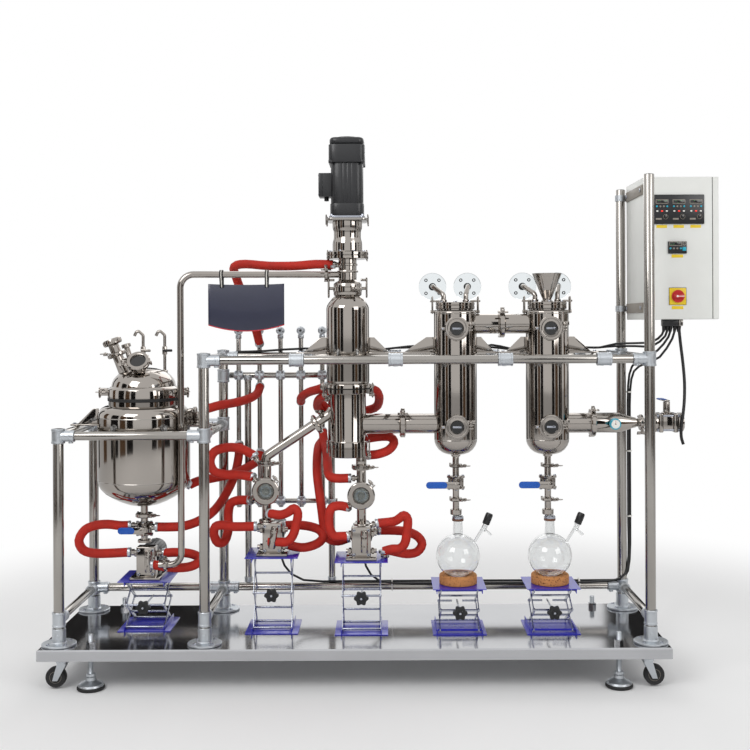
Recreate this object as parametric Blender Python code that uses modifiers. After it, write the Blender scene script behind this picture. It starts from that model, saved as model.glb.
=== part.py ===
"""Molecular distillation unit: reactor, wiped-film evaporator and two cold traps on a tube frame.

Metres, +Z up. X runs along the deck, the control box is at +X and the front is at -Y.
The origin is on the floor, under the middle of the whole unit.
"""
import bpy
import bmesh
from math import asin, cos, pi, radians, sin, sqrt, tan
from mathutils import Matrix, Vector

# Clearances
SEAT = 0.0004           # between faces that touch
FIT = 0.0006            # round a pin, stud or shaft, on the radius
SLEEVE_SIDES = 8
TEE_SIDES = 10
INTO = 0.003            # how far a bar runs past the axis of the post that holds it

# Deck, feet and casters
DECK_LENGTH = 2.278
DECK_DEPTH = 0.620
DECK_MIDDLE_X = -0.118
DECK_TOP = 0.155
SKIRT = 0.040
SHEET = 0.003
BEARER_LENGTH = 0.230
FOOT_INSET_X = 0.183
FOOT_INSET_Y = 0.052
FOOT_RADIUS = 0.050
FOOT_HEIGHT = 0.045
STUD_RADIUS = 0.010
STUD_PROUD = 0.045
STUD_SIDES = 8
NUT_RADIUS = 0.017
NUT_HEIGHT = 0.016
CASTER_INSET_X = 0.054
CASTER_INSET_Y = 0.065
CASTER_LIFT = 0.004
CASTER_TRAIL = 0.022
WHEEL_RADIUS = 0.0375
WHEEL_WIDTH = 0.030
AXLE_RADIUS = 0.006

# Tube frame
POST_RADIUS = 0.019
BAR_RADIUS = 0.016
TEE_RADIUS = 0.0245
TEE_HALF = 0.0265
SLEEVE_RADIUS = 0.0215
SLEEVE_REACH = 0.060
FLANGE_RADIUS = 0.062
FLANGE_THICK = 0.008
SOCKET_TOP = 0.061
FRAME_HALF_DEPTH = 0.240
POST_LEFT_X = -1.194
POST_MIDDLE_X = -0.664
POST_RIGHT_X = 0.958
LOW_BAR_Z = 0.248
MID_BAR_Z = 0.914
HIGH_BAR_Z = 1.1865
RIGHT_POST_TOP = 1.860
HANGER_X = (-0.3265, 0.034, 0.4335, 0.7925)

# Reactor
REACTOR_X = -0.935
REACTOR_RADIUS = 0.175
REACTOR_MOUTH = 0.133
REACTOR_WALL = 0.012
REACTOR_RIM_Z = 1.0269
REACTOR_SHOULDER_Z = 0.975
REACTOR_DISH_Z = 0.705
REACTOR_BOTTOM_Z = 0.620
LID_BAND = 0.054
LID_DOME = 0.071
DRAIN_RADIUS = 0.014

# Evaporator
COLUMN_Y = -0.040
EVAPORATOR_X = -0.146
NECK_TOP_Z = 1.5643
NECK_RADIUS = 0.0345
HEAD_CLAMP_RADIUS = 0.0535
HEAD_CLAMP_TOP_Z = 1.4726
HEAD_CLAMP_BOTTOM_Z = 1.4290
UPPER_BODY_RADIUS = 0.0817
UPPER_BODY_TOP_Z = 1.3854
LOWER_BODY_RADIUS = 0.0679
JOINT_TOP_Z = 1.0898
JOINT_BOTTOM_Z = 1.0551
FOOT_FLANGE_RADIUS = 0.0735
FOOT_FLANGE_TOP_Z = 0.8694
EVAPORATOR_BOTTOM_Z = 0.8119
BORE_RADIUS = 0.0600
SHAFT_RADIUS = 0.009
BLADE_RADIUS = 0.056
BLADE_THICK = 0.006
VAPOUR_PIPE_RADIUS = 0.038
VAPOUR_Z = 0.936
VAPOUR_CLAMP_X = 0.062
CLAMP_RADIUS = 0.053
CLAMP_HALF = 0.010
SIGHT_TEE_TOP = (0.785, 0.770)      # residue leg, distillate leg

# Drive motor
MOTOR_TOP_Z = 2.0273
FAN_COVER_BOTTOM_Z = 1.930
MOTOR_PLATE_Z = 1.7073
MOTOR_RADIUS = 0.063
FAN_COVER_RADIUS = 0.072
MOTOR_FLANGE_RADIUS = 0.080

# Cold traps
TRAP_X = (0.264, 0.615)
TRAP_RADIUS = 0.0815
TRAP_TOP_Z = 1.3726
TRAP_STRAIGHT_BOTTOM_Z = 0.869
TRAP_BOTTOM_Z = 0.8164
TRAP_LID_RADIUS = 0.070
TRAP_LID_THICK = 0.026
COOLANT_DISC_RISE = 0.062
COOLANT_FOOT_X = (-0.043, 0.043)
COOLANT_DISC_X = (-0.082, 0.054)
COOLANT_DISC_RADIUS = 0.054
BRIDGE_Z = 1.316
GLASS_Z = (1.298, 0.930)
GLASS_CLAMP_RADIUS = 0.037
DRIP_RADIUS = 0.0105
DRIP_CLAMP_Z = (0.775, 0.646)
DRIP_VALVE_Z = 0.711
DRIP_END_GAP = 0.001
VACUUM_PIPE_END_X = 0.885
VACUUM_VALVE_X = (1.008, 1.132)

# Receiving flasks and cork rings
FLASK_RADIUS = 0.0837
FLASK_WALL = 0.003
FLASK_Z = 0.4306
FLASK_NECK_RADIUS = 0.0195
FLASK_MOUTH_Z = 0.5839
CORK_RADIUS = 0.072
CORK_HEIGHT = 0.035

# Lab jacks: arms cross in the Y-Z plane
JACK_PLATE = 0.200
JACK_ARM = 0.160
JACK_TRAVEL = 15.8         # degrees that a flask jack's arms fold down from rest
JACK_FLANGE_SETBACK = 0.003  # from the ends of a plate to the ends of its flanges
JACK_ARM_WIDTH = 0.014
JACK_ARM_THICK = 0.003
JACK_HALF_SPACING = 0.0725
JACK_PIVOT_RISE = 0.011
JACK_ROD_RADIUS = 0.004
FLASK_JACK_TOP_Z = 0.3257
PUMP_JACKS = (           # x, y, top height
    (-0.922, 0.020, 0.344),
    (-0.435, -0.020, 0.4405),
    (-0.097, -0.040, 0.4276),
)

# Feed pipe and sign board
FEED_RADIUS = 0.0125
FEED_RISER_X = -0.774
FEED_TOP_Z = 1.506
FEED_BEND = 0.050
SIGN_LEFT_X = -0.673
SIGN_WIDTH = 0.288
SIGN_TOP_Z = 1.471
SIGN_HEIGHT = 0.181
SIGN_THICK = 0.004
TWINE_RADIUS = 0.0025

# Heating manifold
MANIFOLD_Y = 0.273
RISER_X = (-0.606, -0.520, -0.434, -0.350, -0.2625)
RISER_RADIUS = 0.0095
COCK_Z = 1.2907
COCK_RADIUS = 0.017
RISER_BOTTOM_Z = 0.5666
MANIFOLD_HIGH_Z = 1.108
MANIFOLD_HIGH_RADIUS = 0.0125
MANIFOLD_LOW_Z = 0.592
MANIFOLD_LOW_RADIUS = 0.0105
MANIFOLD_LEG_RADIUS = 0.0135
MANIFOLD_LEG_X = (-0.566, -0.225)

# Control box
BOX_LEFT_X = 0.9785
BOX_WIDTH = 0.2785
BOX_FRONT_Y = -0.092
BOX_DEPTH = 0.315
BOX_BOTTOM_Z = 1.329
BOX_HEIGHT = 0.539
BOX_SHEET = 0.003
DOOR_THICK = 0.012
STRAP_INSET = 0.045
STRAP_LENGTH = 0.064
STRAP_WIDTH = 0.024

STEEL = ((0.62, 0.61, 0.60), 0.18, 1.0)
FRAME_STEEL = ((0.55, 0.53, 0.50), 0.22, 1.0)
BLACK = ((0.015, 0.015, 0.018), 0.40, 0.0)
MOTOR_BLACK = ((0.012, 0.013, 0.020), 0.35, 0.0)
JACK_BLUE = ((0.020, 0.035, 0.450), 0.40, 0.0)
LEVER_BLUE = ((0.010, 0.120, 0.520), 0.40, 0.0)
CORK = ((0.560, 0.260, 0.090), 0.85, 0.0)
GLASS = ((0.900, 0.930, 0.930), 0.05, 0.0)
NAVY = ((0.030, 0.040, 0.085), 0.60, 0.0)
PALE_GREY = ((0.620, 0.640, 0.650), 0.45, 0.0)
RED = ((0.600, 0.020, 0.015), 0.50, 0.0)
RUBBER = ((0.050, 0.050, 0.055), 0.70, 0.0)

for old in list(bpy.data.objects):
    bpy.data.objects.remove(old, do_unlink=True)

unit = bpy.data.collections.new("molecular distillation unit")
cutters = bpy.data.collections.new("cutters")
for collection in (unit, cutters):
    bpy.context.scene.collection.children.link(collection)
carried = []            # (piece, what it hangs on) for the parenting at the end


# Working shapes

def place(data, at=(0, 0, 0)):
    """A new hidden working shape; node() shows the ones that become pieces."""
    shape = bpy.data.objects.new(data.name, data)
    shape.location = at
    shape.hide_render = True
    shape.display_type = 'WIRE'
    cutters.objects.link(shape)
    return shape


def from_bmesh(form, label):
    data = bpy.data.meshes.new(label)
    form.to_mesh(data)
    form.free()
    data.shade_smooth()
    data.set_sharp_from_angle(angle=radians(40))
    return data


def aim(shape, direction):
    """Turn a shape whose own axis is Z so that it points along direction."""
    shape.rotation_euler = Vector(direction).to_track_quat('Z', 'Y').to_euler()
    return shape


def rod(start, end, radius, sides=8, end_radius=None):
    start, end = Vector(start), Vector(end)
    last = radius if end_radius is None else end_radius
    form = bmesh.new()
    bmesh.ops.create_cone(form, cap_ends=True, segments=sides, radius1=radius, radius2=last,
                          depth=(end - start).length)
    return aim(place(from_bmesh(form, "rod"), (start + end) / 2), end - start)


def block(low, high, bevel=0.0):
    low, high = Vector(low), Vector(high)
    form = bmesh.new()
    bmesh.ops.create_cube(form, size=1.0, matrix=Matrix.Diagonal((*(high - low), 1.0)))
    shape = place(from_bmesh(form, "block"), (low + high) / 2)
    if bevel:
        rounding = shape.modifiers.new("rounded edges", 'BEVEL')
        rounding.width = bevel
        rounding.segments = 1
    return shape


def turned(profile, at, sides=20, direction=(0, 0, 1), closed=False):
    """Spin (radius, height) points about the axis; the outer side runs from top to bottom."""
    data = bpy.data.meshes.new("turned")
    count = len(profile)
    edges = [(i, i + 1) for i in range(count - 1)] + ([(count - 1, 0)] if closed else [])
    data.from_pydata([(radius, 0, height) for radius, height in profile], edges, [])
    shape = aim(place(data, at), direction)
    turn = shape.modifiers.new("turn", 'SCREW')
    turn.steps = sides
    turn.render_steps = sides
    turn.use_merge_vertices = True
    turn.merge_threshold = 0.0001
    return shape


def as_mesh(shape):
    """A curve made into a mesh with its caps welded, so that it can be joined or cut."""
    bpy.context.view_layer.update()
    evaluated = shape.evaluated_get(bpy.context.evaluated_depsgraph_get())
    data = bpy.data.meshes.new_from_object(evaluated)
    form = bmesh.new()
    form.from_mesh(data)
    bmesh.ops.remove_doubles(form, verts=form.verts, dist=0.00001)
    bmesh.ops.recalc_face_normals(form, faces=form.faces)
    mesh = place(from_bmesh(form, "solid"))
    mesh.matrix_world = shape.matrix_world.copy()
    bpy.data.objects.remove(shape)
    bpy.data.meshes.remove(data)
    return mesh


def poly_spline(curve, points, closed):
    spline = curve.splines.new('POLY')
    spline.points.add(len(points) - 1)
    for spot, place_at in zip(spline.points, points):
        spot.co = (*Vector(place_at).to_3d(), 1.0)
    spline.use_cyclic_u = closed


def pipe(points, radius, sides=8, closed=False):
    curve = bpy.data.curves.new("pipe", 'CURVE')
    curve.dimensions = '3D'
    curve.bevel_depth = radius
    curve.bevel_resolution = sides // 2 - 2
    curve.use_fill_caps = not closed
    poly_spline(curve, points, closed)
    return as_mesh(place(curve))


def plate(outline, thickness, at, normal, holes=()):
    """A flat outline with holes, as thick as given, centred at a point. normal is 'X', 'Y' or 'Z'.

    Outline points are (Y, Z) for normal X, (X, Z) for normal Y and (X, Y) for normal Z.
    """
    curve = bpy.data.curves.new("plate", 'CURVE')
    curve.dimensions = '2D'
    curve.fill_mode = 'BOTH'
    curve.extrude = thickness / 2
    for loop in (outline, *holes):
        poly_spline(curve, [(u, v, 0) for u, v in loop], True)
    shape = place(curve, at)
    turns = {'X': (pi / 2, 0, pi / 2), 'Y': (pi / 2, 0, 0), 'Z': (0, 0, 0)}
    shape.rotation_euler = turns[normal]
    return as_mesh(shape)


def bore_radius(pin_radius, sides):
    """The radius of a faceted hole whose flats stay clear of a round pin by the usual fit."""
    return (pin_radius + FIT) / cos(pi / sides)


def circle(radius, sides, centre=(0, 0)):
    return [(centre[0] + radius * cos(2 * pi * i / sides), centre[1] + radius * sin(2 * pi * i / sides))
            for i in range(sides)]


def arc(radius, start, end, steps, centre=(0, 0)):
    """Points on an arc between two angles in degrees, both ends included."""
    turn = [radians(start + (end - start) * i / steps) for i in range(steps + 1)]
    return [(centre[0] + radius * cos(t), centre[1] + radius * sin(t)) for t in turn]


def with_bends(corners, radius, steps=4):
    """The centre line of a pipe, with an arc of the given radius in each corner."""
    corners = [Vector(corner) for corner in corners]
    line = [corners[0]]
    for before, corner, after in zip(corners, corners[1:], corners[2:]):
        back, on = (before - corner).normalized(), (after - corner).normalized()
        half = back.angle(on) / 2
        centre = corner + (back + on).normalized() * radius / sin(half)
        first = corner + back * radius / tan(half) - centre
        last = corner + on * radius / tan(half) - centre
        for i in range(steps + 1):
            line.append(centre + first.normalized().slerp(last.normalized(), i / steps) * radius)
    line.append(corners[-1])
    return line


def node(name, base, joined=(), cut=(), finish=STEEL, pivot=None, on=None):
    """Show base as a piece, with shapes joined to it and cut from it, turning about pivot."""
    colour, roughness, metallic = finish
    base.name = name
    base.data.name = name
    cutters.objects.unlink(base)
    unit.objects.link(base)
    base.hide_render = False
    base.display_type = 'TEXTURED'
    if pivot is not None:
        base.data.transform(base.rotation_euler.to_matrix().to_4x4())
        base.data.transform(Matrix.Translation(base.location - Vector(pivot)))
        base.rotation_euler = (0, 0, 0)
        base.location = pivot
    for operation, shapes in (('UNION', joined), ('DIFFERENCE', cut)):
        for shape in shapes:
            step = base.modifiers.new(operation.lower(), 'BOOLEAN')
            step.operation = operation
            step.solver = 'EXACT'
            step.object = shape
            carried.append((shape, base))
    material = bpy.data.materials.new(name)
    material.use_nodes = True
    shader = material.node_tree.nodes["Principled BSDF"]
    shader.inputs["Base Color"].default_value = (*colour, 1.0)
    shader.inputs["Roughness"].default_value = roughness
    shader.inputs["Metallic"].default_value = metallic
    base.data.materials.append(material)
    carried.append((base, on or assembly))
    return base


assembly = bpy.data.objects.new("distillation_unit", None)
unit.objects.link(assembly)

DECK_LEFT = DECK_MIDDLE_X - DECK_LENGTH / 2
DECK_RIGHT = DECK_MIDDLE_X + DECK_LENGTH / 2
DECK_BOTTOM = DECK_TOP - SKIRT
CASTER_PLATE_BOTTOM = DECK_BOTTOM - 0.0035
RACEWAY_BOTTOM = CASTER_PLATE_BOTTOM - 0.010
WHEEL_Z = CASTER_LIFT + WHEEL_RADIUS
FOOT_X = (DECK_LEFT + FOOT_INSET_X, DECK_RIGHT - FOOT_INSET_X)
FOOT_Y = DECK_DEPTH / 2 - FOOT_INSET_Y
CASTER_X = (DECK_LEFT + CASTER_INSET_X, DECK_RIGHT - CASTER_INSET_X)
CASTER_Y = DECK_DEPTH / 2 - CASTER_INSET_Y


# Deck, levelling feet and casters

def corners(xs, y):
    """The four corners with their labels; each also says which way the middle of the deck lies."""
    for side, x, inward in (("left", xs[0], 1), ("right", xs[1], -1)):
        for end, sign in (("front", -1), ("rear", 1)):
            yield f"{end}_{side}", x, sign * y, inward


def swivel_x(x, inward):
    return x + inward * CASTER_TRAIL


def make_deck():
    tray = block((DECK_LEFT, -DECK_DEPTH / 2, DECK_BOTTOM), (DECK_RIGHT, DECK_DEPTH / 2, DECK_TOP))
    form = bmesh.new()
    form.from_mesh(tray.data)
    form.faces.ensure_lookup_table()
    bmesh.ops.delete(form, geom=[min(form.faces, key=lambda f: f.calc_center_median().z)],
                     context='FACES_ONLY')
    form.to_mesh(tray.data)
    form.free()
    folds = tray.modifiers.new("folded edges", 'BEVEL')
    folds.width = 0.005
    folds.segments = 1
    wall = tray.modifiers.new("sheet", 'SOLIDIFY')
    wall.thickness = SHEET
    wall.offset = -1.0
    inset = SHEET / 2
    joined = []
    for start, end in ((DECK_LEFT + inset, DECK_LEFT + BEARER_LENGTH),
                       (DECK_RIGHT - BEARER_LENGTH, DECK_RIGHT - inset)):
        joined.append(block((start, inset - DECK_DEPTH / 2, DECK_BOTTOM + 0.0005),
                            (end, DECK_DEPTH / 2 - inset, DECK_BOTTOM + 0.0005 + SHEET)))
    cut = []
    for _, x, y, inward in corners(FOOT_X, FOOT_Y):
        joined.append(rod((x, y, DECK_TOP - SHEET / 2), (x, y, DECK_TOP + NUT_HEIGHT), NUT_RADIUS, 6))
        cut.append(rod((x, y, DECK_BOTTOM - 0.02), (x, y, DECK_TOP + 0.05), STUD_RADIUS + FIT, STUD_SIDES))
    for _, x, y, inward in corners(CASTER_X, CASTER_Y):
        pin_x = swivel_x(x, inward)
        joined.append(block((pin_x - 0.040, y - 0.030, CASTER_PLATE_BOTTOM),
                            (pin_x + 0.040, y + 0.030, DECK_BOTTOM + 0.0015)))
        joined.append(rod((pin_x, y, RACEWAY_BOTTOM), (pin_x, y, DECK_BOTTOM), 0.024))
    node("base_deck", tray, joined, cut, STEEL)


def make_feet():
    profile = [(0, DECK_TOP + STUD_PROUD), (STUD_RADIUS, DECK_TOP + STUD_PROUD), (STUD_RADIUS, FOOT_HEIGHT),
               (0.017, FOOT_HEIGHT), (0.022, 0.032), (0.042, 0.022), (FOOT_RADIUS, 0.014), (FOOT_RADIUS, 0), (0, 0)]
    for label, x, y, _ in corners(FOOT_X, FOOT_Y):
        node(f"levelling_foot_{label}", turned(profile, (x, y, 0), STUD_SIDES), finish=STEEL)


def make_casters():
    half = WHEEL_WIDTH / 2
    bore = bore_radius(AXLE_RADIUS, 14)
    tread = [(WHEEL_RADIUS - 0.003, half), (WHEEL_RADIUS, 0), (WHEEL_RADIUS - 0.003, -half),
             (bore, -half), (bore, half)]
    leg_y = half + 0.005
    crown_top = RACEWAY_BOTTOM - SEAT
    for label, x, y, inward in corners(CASTER_X, CASTER_Y):
        pin_x = swivel_x(x, inward)
        crown = rod((pin_x, y, crown_top - 0.007), (pin_x, y, crown_top), 0.024)
        back = -inward * CASTER_TRAIL
        low = WHEEL_Z - crown_top - 0.010
        outline = [(0.012 * inward, -0.002), (0.018 * inward, -0.012), (back + 0.009 * inward, low),
                   (back - 0.009 * inward, low), (-0.012 * inward, -0.002)]
        joined = [plate(outline, 0.003, (pin_x, y + side * leg_y, crown_top), 'Y') for side in (-1, 1)]
        joined.append(rod((x, y - leg_y - 0.004, WHEEL_Z), (x, y + leg_y + 0.004, WHEEL_Z), AXLE_RADIUS, 6))
        fork = node(f"caster_fork_{label}", crown, joined, pivot=(pin_x, y, crown_top))
        node(f"caster_wheel_{label}", turned(tread, (x, y, WHEEL_Z), 14, (0, 1, 0), closed=True),
             finish=RUBBER, on=fork)


# Tube frame

def tee(at, directions):
    """A clamp fitting: a sleeve round the post and one along each bar."""
    x, y, z = at
    shapes = [rod((x, y, z - TEE_HALF), (x, y, z + TEE_HALF), TEE_RADIUS, TEE_SIDES)]
    for number, direction in enumerate(directions):
        through = -Vector(direction) in [Vector(other) for other in directions[:number]]
        straight_on = -Vector(direction) in [Vector(other) for other in directions[number:]]
        if not through:
            start = Vector(at) - Vector(direction) * (SLEEVE_REACH if straight_on else INTO)
            shapes.append(rod(start, Vector(at) + Vector(direction) * SLEEVE_REACH, SLEEVE_RADIUS, SLEEVE_SIDES))
    return shapes


def base_socket(x, y):
    floor = DECK_TOP + SEAT
    return [rod((x, y, floor), (x, y, floor + FLANGE_THICK), FLANGE_RADIUS, 12),
            rod((x, y, floor + 0.001), (x, y, DECK_TOP + SOCKET_TOP), TEE_RADIUS, SLEEVE_SIDES)]


def post(x, y, top):
    return rod((x, y, DECK_TOP + SEAT + 0.002), (x, y, top), POST_RADIUS)


def side_bar(x, z):
    return rod((x, -FRAME_HALF_DEPTH - INTO, z), (x, FRAME_HALF_DEPTH + INTO, z), BAR_RADIUS)


def make_frame():
    front, rear = -FRAME_HALF_DEPTH, FRAME_HALF_DEPTH
    left, right, back, ahead = (-1, 0, 0), (1, 0, 0), (0, 1, 0), (0, -1, 0)
    inward = {front: back, rear: ahead}
    joint = SLEEVE_REACH + SEAT

    joined = [post(POST_LEFT_X, rear, MID_BAR_Z + TEE_HALF + 0.002)]
    for y in (front, rear):
        joined += base_socket(POST_LEFT_X, y)
        low = [inward[y]] + ([right] if y == rear else [])
        joined += tee((POST_LEFT_X, y, LOW_BAR_Z), low)
        joined += tee((POST_LEFT_X, y, MID_BAR_Z), [inward[y], right])
        joined.append(rod((POST_LEFT_X - INTO, y, MID_BAR_Z), (POST_MIDDLE_X - joint, y, MID_BAR_Z), BAR_RADIUS))
    joined.append(rod((POST_LEFT_X - INTO, rear, LOW_BAR_Z), (POST_MIDDLE_X - joint, rear, LOW_BAR_Z), BAR_RADIUS))
    joined += [side_bar(POST_LEFT_X, z) for z in (LOW_BAR_Z, MID_BAR_Z)]
    node("left_bay_frame", post(POST_LEFT_X, front, MID_BAR_Z + TEE_HALF + 0.002), joined, finish=FRAME_STEEL)

    joined = [post(POST_MIDDLE_X, rear, HIGH_BAR_Z + TEE_HALF + 0.002)]
    for y in (front, rear):
        joined += base_socket(POST_MIDDLE_X, y)
        joined += tee((POST_MIDDLE_X, y, LOW_BAR_Z), [inward[y]] + ([left, right] if y == rear else []))
        joined += tee((POST_MIDDLE_X, y, MID_BAR_Z), [inward[y], left])
        joined += tee((POST_MIDDLE_X, y, HIGH_BAR_Z), [inward[y], right])
    joined += tee((POST_MIDDLE_X, rear, MANIFOLD_HIGH_Z), [back])
    joined += [side_bar(POST_MIDDLE_X, z) for z in (LOW_BAR_Z, MID_BAR_Z, HIGH_BAR_Z)]
    node("middle_frame", post(POST_MIDDLE_X, front, HIGH_BAR_Z + TEE_HALF + 0.002), joined, finish=FRAME_STEEL)

    joined = [side_bar(POST_RIGHT_X, z) for z in (LOW_BAR_Z, HIGH_BAR_Z)]
    joined.append(post(POST_RIGHT_X, rear, RIGHT_POST_TOP))
    for y in (front, rear):
        joined += base_socket(POST_RIGHT_X, y)
        joined += tee((POST_RIGHT_X, y, LOW_BAR_Z), [inward[y]] + ([left] if y == rear else []))
        joined += tee((POST_RIGHT_X, y, HIGH_BAR_Z), [inward[y], left])
    node("right_end_frame", post(POST_RIGHT_X, front, RIGHT_POST_TOP), joined, finish=FRAME_STEEL)

    for name, y in (("upper_front_rail", front), ("upper_rear_rail", rear)):
        rail = rod((POST_MIDDLE_X + joint, y, HIGH_BAR_Z), (POST_RIGHT_X - joint, y, HIGH_BAR_Z), BAR_RADIUS)
        joined = []
        for x in HANGER_X:
            joined.append(rod((x - TEE_HALF, y, HIGH_BAR_Z), (x + TEE_HALF, y, HIGH_BAR_Z), SLEEVE_RADIUS, SLEEVE_SIDES))
            inner = Vector((x, y, HIGH_BAR_Z)) + Vector(inward[y]) * SLEEVE_REACH
            joined.append(rod(Vector((x, y, HIGH_BAR_Z)) - Vector(inward[y]) * INTO, inner, SLEEVE_RADIUS - 0.001, SLEEVE_SIDES))
            if y == rear:
                joined.append(rod((x, rear + INTO, HIGH_BAR_Z), (x, front + joint, HIGH_BAR_Z), BAR_RADIUS))
        node(name, rail, joined, finish=FRAME_STEEL)

    node("rear_bottom_rail", rod((POST_MIDDLE_X + joint, rear, LOW_BAR_Z),
                                 (POST_RIGHT_X - joint, rear, LOW_BAR_Z), BAR_RADIUS), finish=FRAME_STEEL)


# Reactor

def lug(centre_x, y, inner, outer, half_width=0.020, rise=0.062, bar_z=HIGH_BAR_Z):
    """A mounting ear: a foot plate that lies on a frame bar, and the gusset that stands on it."""
    foot = bar_z + BAR_RADIUS + SEAT
    side = 1 if outer > inner else -1
    low_x, high_x = sorted((centre_x + inner, centre_x + outer))
    pad = block((low_x, y - half_width, foot), (high_x, y + half_width, foot + 0.006))
    reach = abs(outer - inner)
    outline = [(0, 0), (side * reach * 0.80, 0), (side * reach * 0.80, 0.008), (side * 0.012, rise), (0, rise)]
    web = plate(outline, 0.006, (centre_x + inner, y, foot + 0.003), 'Y')
    return [pad, web]


def make_reactor():
    x, y = REACTOR_X, 0.0
    mouth, radius = REACTOR_MOUTH, REACTOR_RADIUS
    wall = REACTOR_WALL
    dish = [(0, REACTOR_BOTTOM_Z), (0.060, REACTOR_BOTTOM_Z + 0.010), (0.120, REACTOR_BOTTOM_Z + 0.035),
            (0.160, REACTOR_DISH_Z - 0.020), (radius, REACTOR_DISH_Z + 0.010)]
    inner = [(0, REACTOR_BOTTOM_Z + 0.030), (0.100, REACTOR_BOTTOM_Z + 0.050),
             (mouth - wall, REACTOR_DISH_Z + 0.010), (mouth - wall, REACTOR_RIM_Z)]
    outer = [(mouth, REACTOR_RIM_Z), (mouth, REACTOR_RIM_Z - 0.018), (0.150, REACTOR_RIM_Z - 0.022),
             (0.168, REACTOR_SHOULDER_Z + 0.015), (radius, REACTOR_SHOULDER_Z)]
    vessel = turned(inner + outer + dish[::-1], (x, y, 0), 18)
    left_reach = REACTOR_X - POST_LEFT_X + BAR_RADIUS
    right_reach = POST_MIDDLE_X - REACTOR_X + BAR_RADIUS
    joined = lug(x, y, -radius + 0.004, -left_reach, rise=0.060, bar_z=MID_BAR_Z)
    joined += lug(x, y, radius - 0.004, right_reach, rise=0.060, bar_z=MID_BAR_Z)
    joined += [
        rod((x, y, REACTOR_BOTTOM_Z + 0.010), (x, y, 0.483), DRAIN_RADIUS, 8),
        rod((x, y, 0.576), (x, y, 0.592), 0.030),
        block((x - 0.026, y - 0.026, 0.508), (x + 0.026, y + 0.026, 0.556), 0.008),
        rod((x, y - 0.020, 0.531), (x, y - 0.044, 0.531), 0.010, 8),
        rod((x, y, 0.478), (x, y, 0.490), 0.026),
    ]
    node("reactor_vessel", vessel, joined)
    valve_lever("reactor_valve_lever", (x, y - 0.044 - SEAT, 0.531), 0.092)

    base = REACTOR_RIM_Z + SEAT
    top = base + LID_BAND
    dome = [(0, top + LID_DOME), (0.050, top + LID_DOME - 0.004), (0.090, top + LID_DOME - 0.020),
            (0.116, top + 0.024), (0.122, top), (mouth, top - 0.004), (mouth, base), (0, base)]
    cap_foot, cap_top = Vector((x - 0.062, y - 0.020, top + 0.045)), Vector((x - 0.120, y - 0.020, 1.262))
    small_foot, small_top = Vector((x - 0.045, y + 0.055, top + 0.045)), Vector((x - 0.082, y + 0.055, 1.240))
    along = (cap_top - cap_foot).normalized()
    joined = [
        rod(cap_foot, cap_top - along * 0.002, 0.020, 8), rod(cap_top - along * 0.022, cap_top, 0.035, 12),
        rod(small_foot, small_top - along * 0.002, 0.011, 6), rod(small_top - along * 0.012, small_top, 0.018, 8),
        rod((x - 0.004, y - 0.045, top + 0.050), (x - 0.004, y - 0.075, 1.172), 0.026),
        turned([(0, 0.004), (0.028, 0.004), (0.028, 0.010), (0.044, 0.010), (0.044, -0.010), (0, -0.010)],
               (x - 0.004, y - 0.078, 1.178), 12, (0, -0.75, 0.65)),
    ]
    for vent_x in (x - 0.012, x + 0.072):
        foot = Vector((vent_x, y + 0.045, top + 0.035))
        bow = [foot, foot.xyz + Vector((0, 0, 0.150)), foot + Vector((-0.022, 0, 0.172)),
               foot + Vector((-0.034, 0, 0.158))]
        joined.append(pipe(bow, 0.006, 6))
        joined.append(rod(foot + Vector((-0.018, 0, 0.105)), foot + Vector((0.014, 0, 0.105)), 0.009, 6))
    for side in (-1, 1):
        bolt = x + side * (mouth + 0.042)
        joined.append(rod((x + side * mouth * 0.95, y, top - 0.022), (bolt, y, top - 0.022), 0.005, 6))
        joined.append(rod((x + side * (mouth - 0.006), y, top - 0.008), (x + side * (mouth + 0.012), y, top - 0.008),
                          0.020, 6))
        joined.append(rod((bolt - side * 0.008, y, top - 0.022), (bolt + side * 0.006, y, top - 0.022), 0.016, 6))
    node("reactor_lid", turned(dome, (x, y, 0), 18), joined)


def valve_lever(name, hub, reach, axis='Y', direction=-1):
    """A flat ball-valve lever that turns about its stem; at rest it stands across the pipe."""
    half = 0.013
    outline = [(0.014, -0.010), (0.014, 0.010), (-0.016, 0.010), (-0.026, half), (-reach + 0.008, half),
               (-reach, 0.006), (-reach, -0.006), (-reach + 0.008, -half), (-0.026, -half), (-0.016, -0.010)]
    if direction > 0:
        outline = [(-u, v) for u, v in outline][::-1]
    if axis == 'Z':
        outline = [(v, u) for u, v in outline][::-1]
        centre = Vector(hub) + Vector((0, 0, 0.0025))
    else:
        centre = Vector(hub) - Vector((0, 0.0025, 0))
    node(name, plate(outline, 0.005, centre, axis), finish=LEVER_BLUE, pivot=hub)


# Evaporator with its drive and wiper rotor

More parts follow.
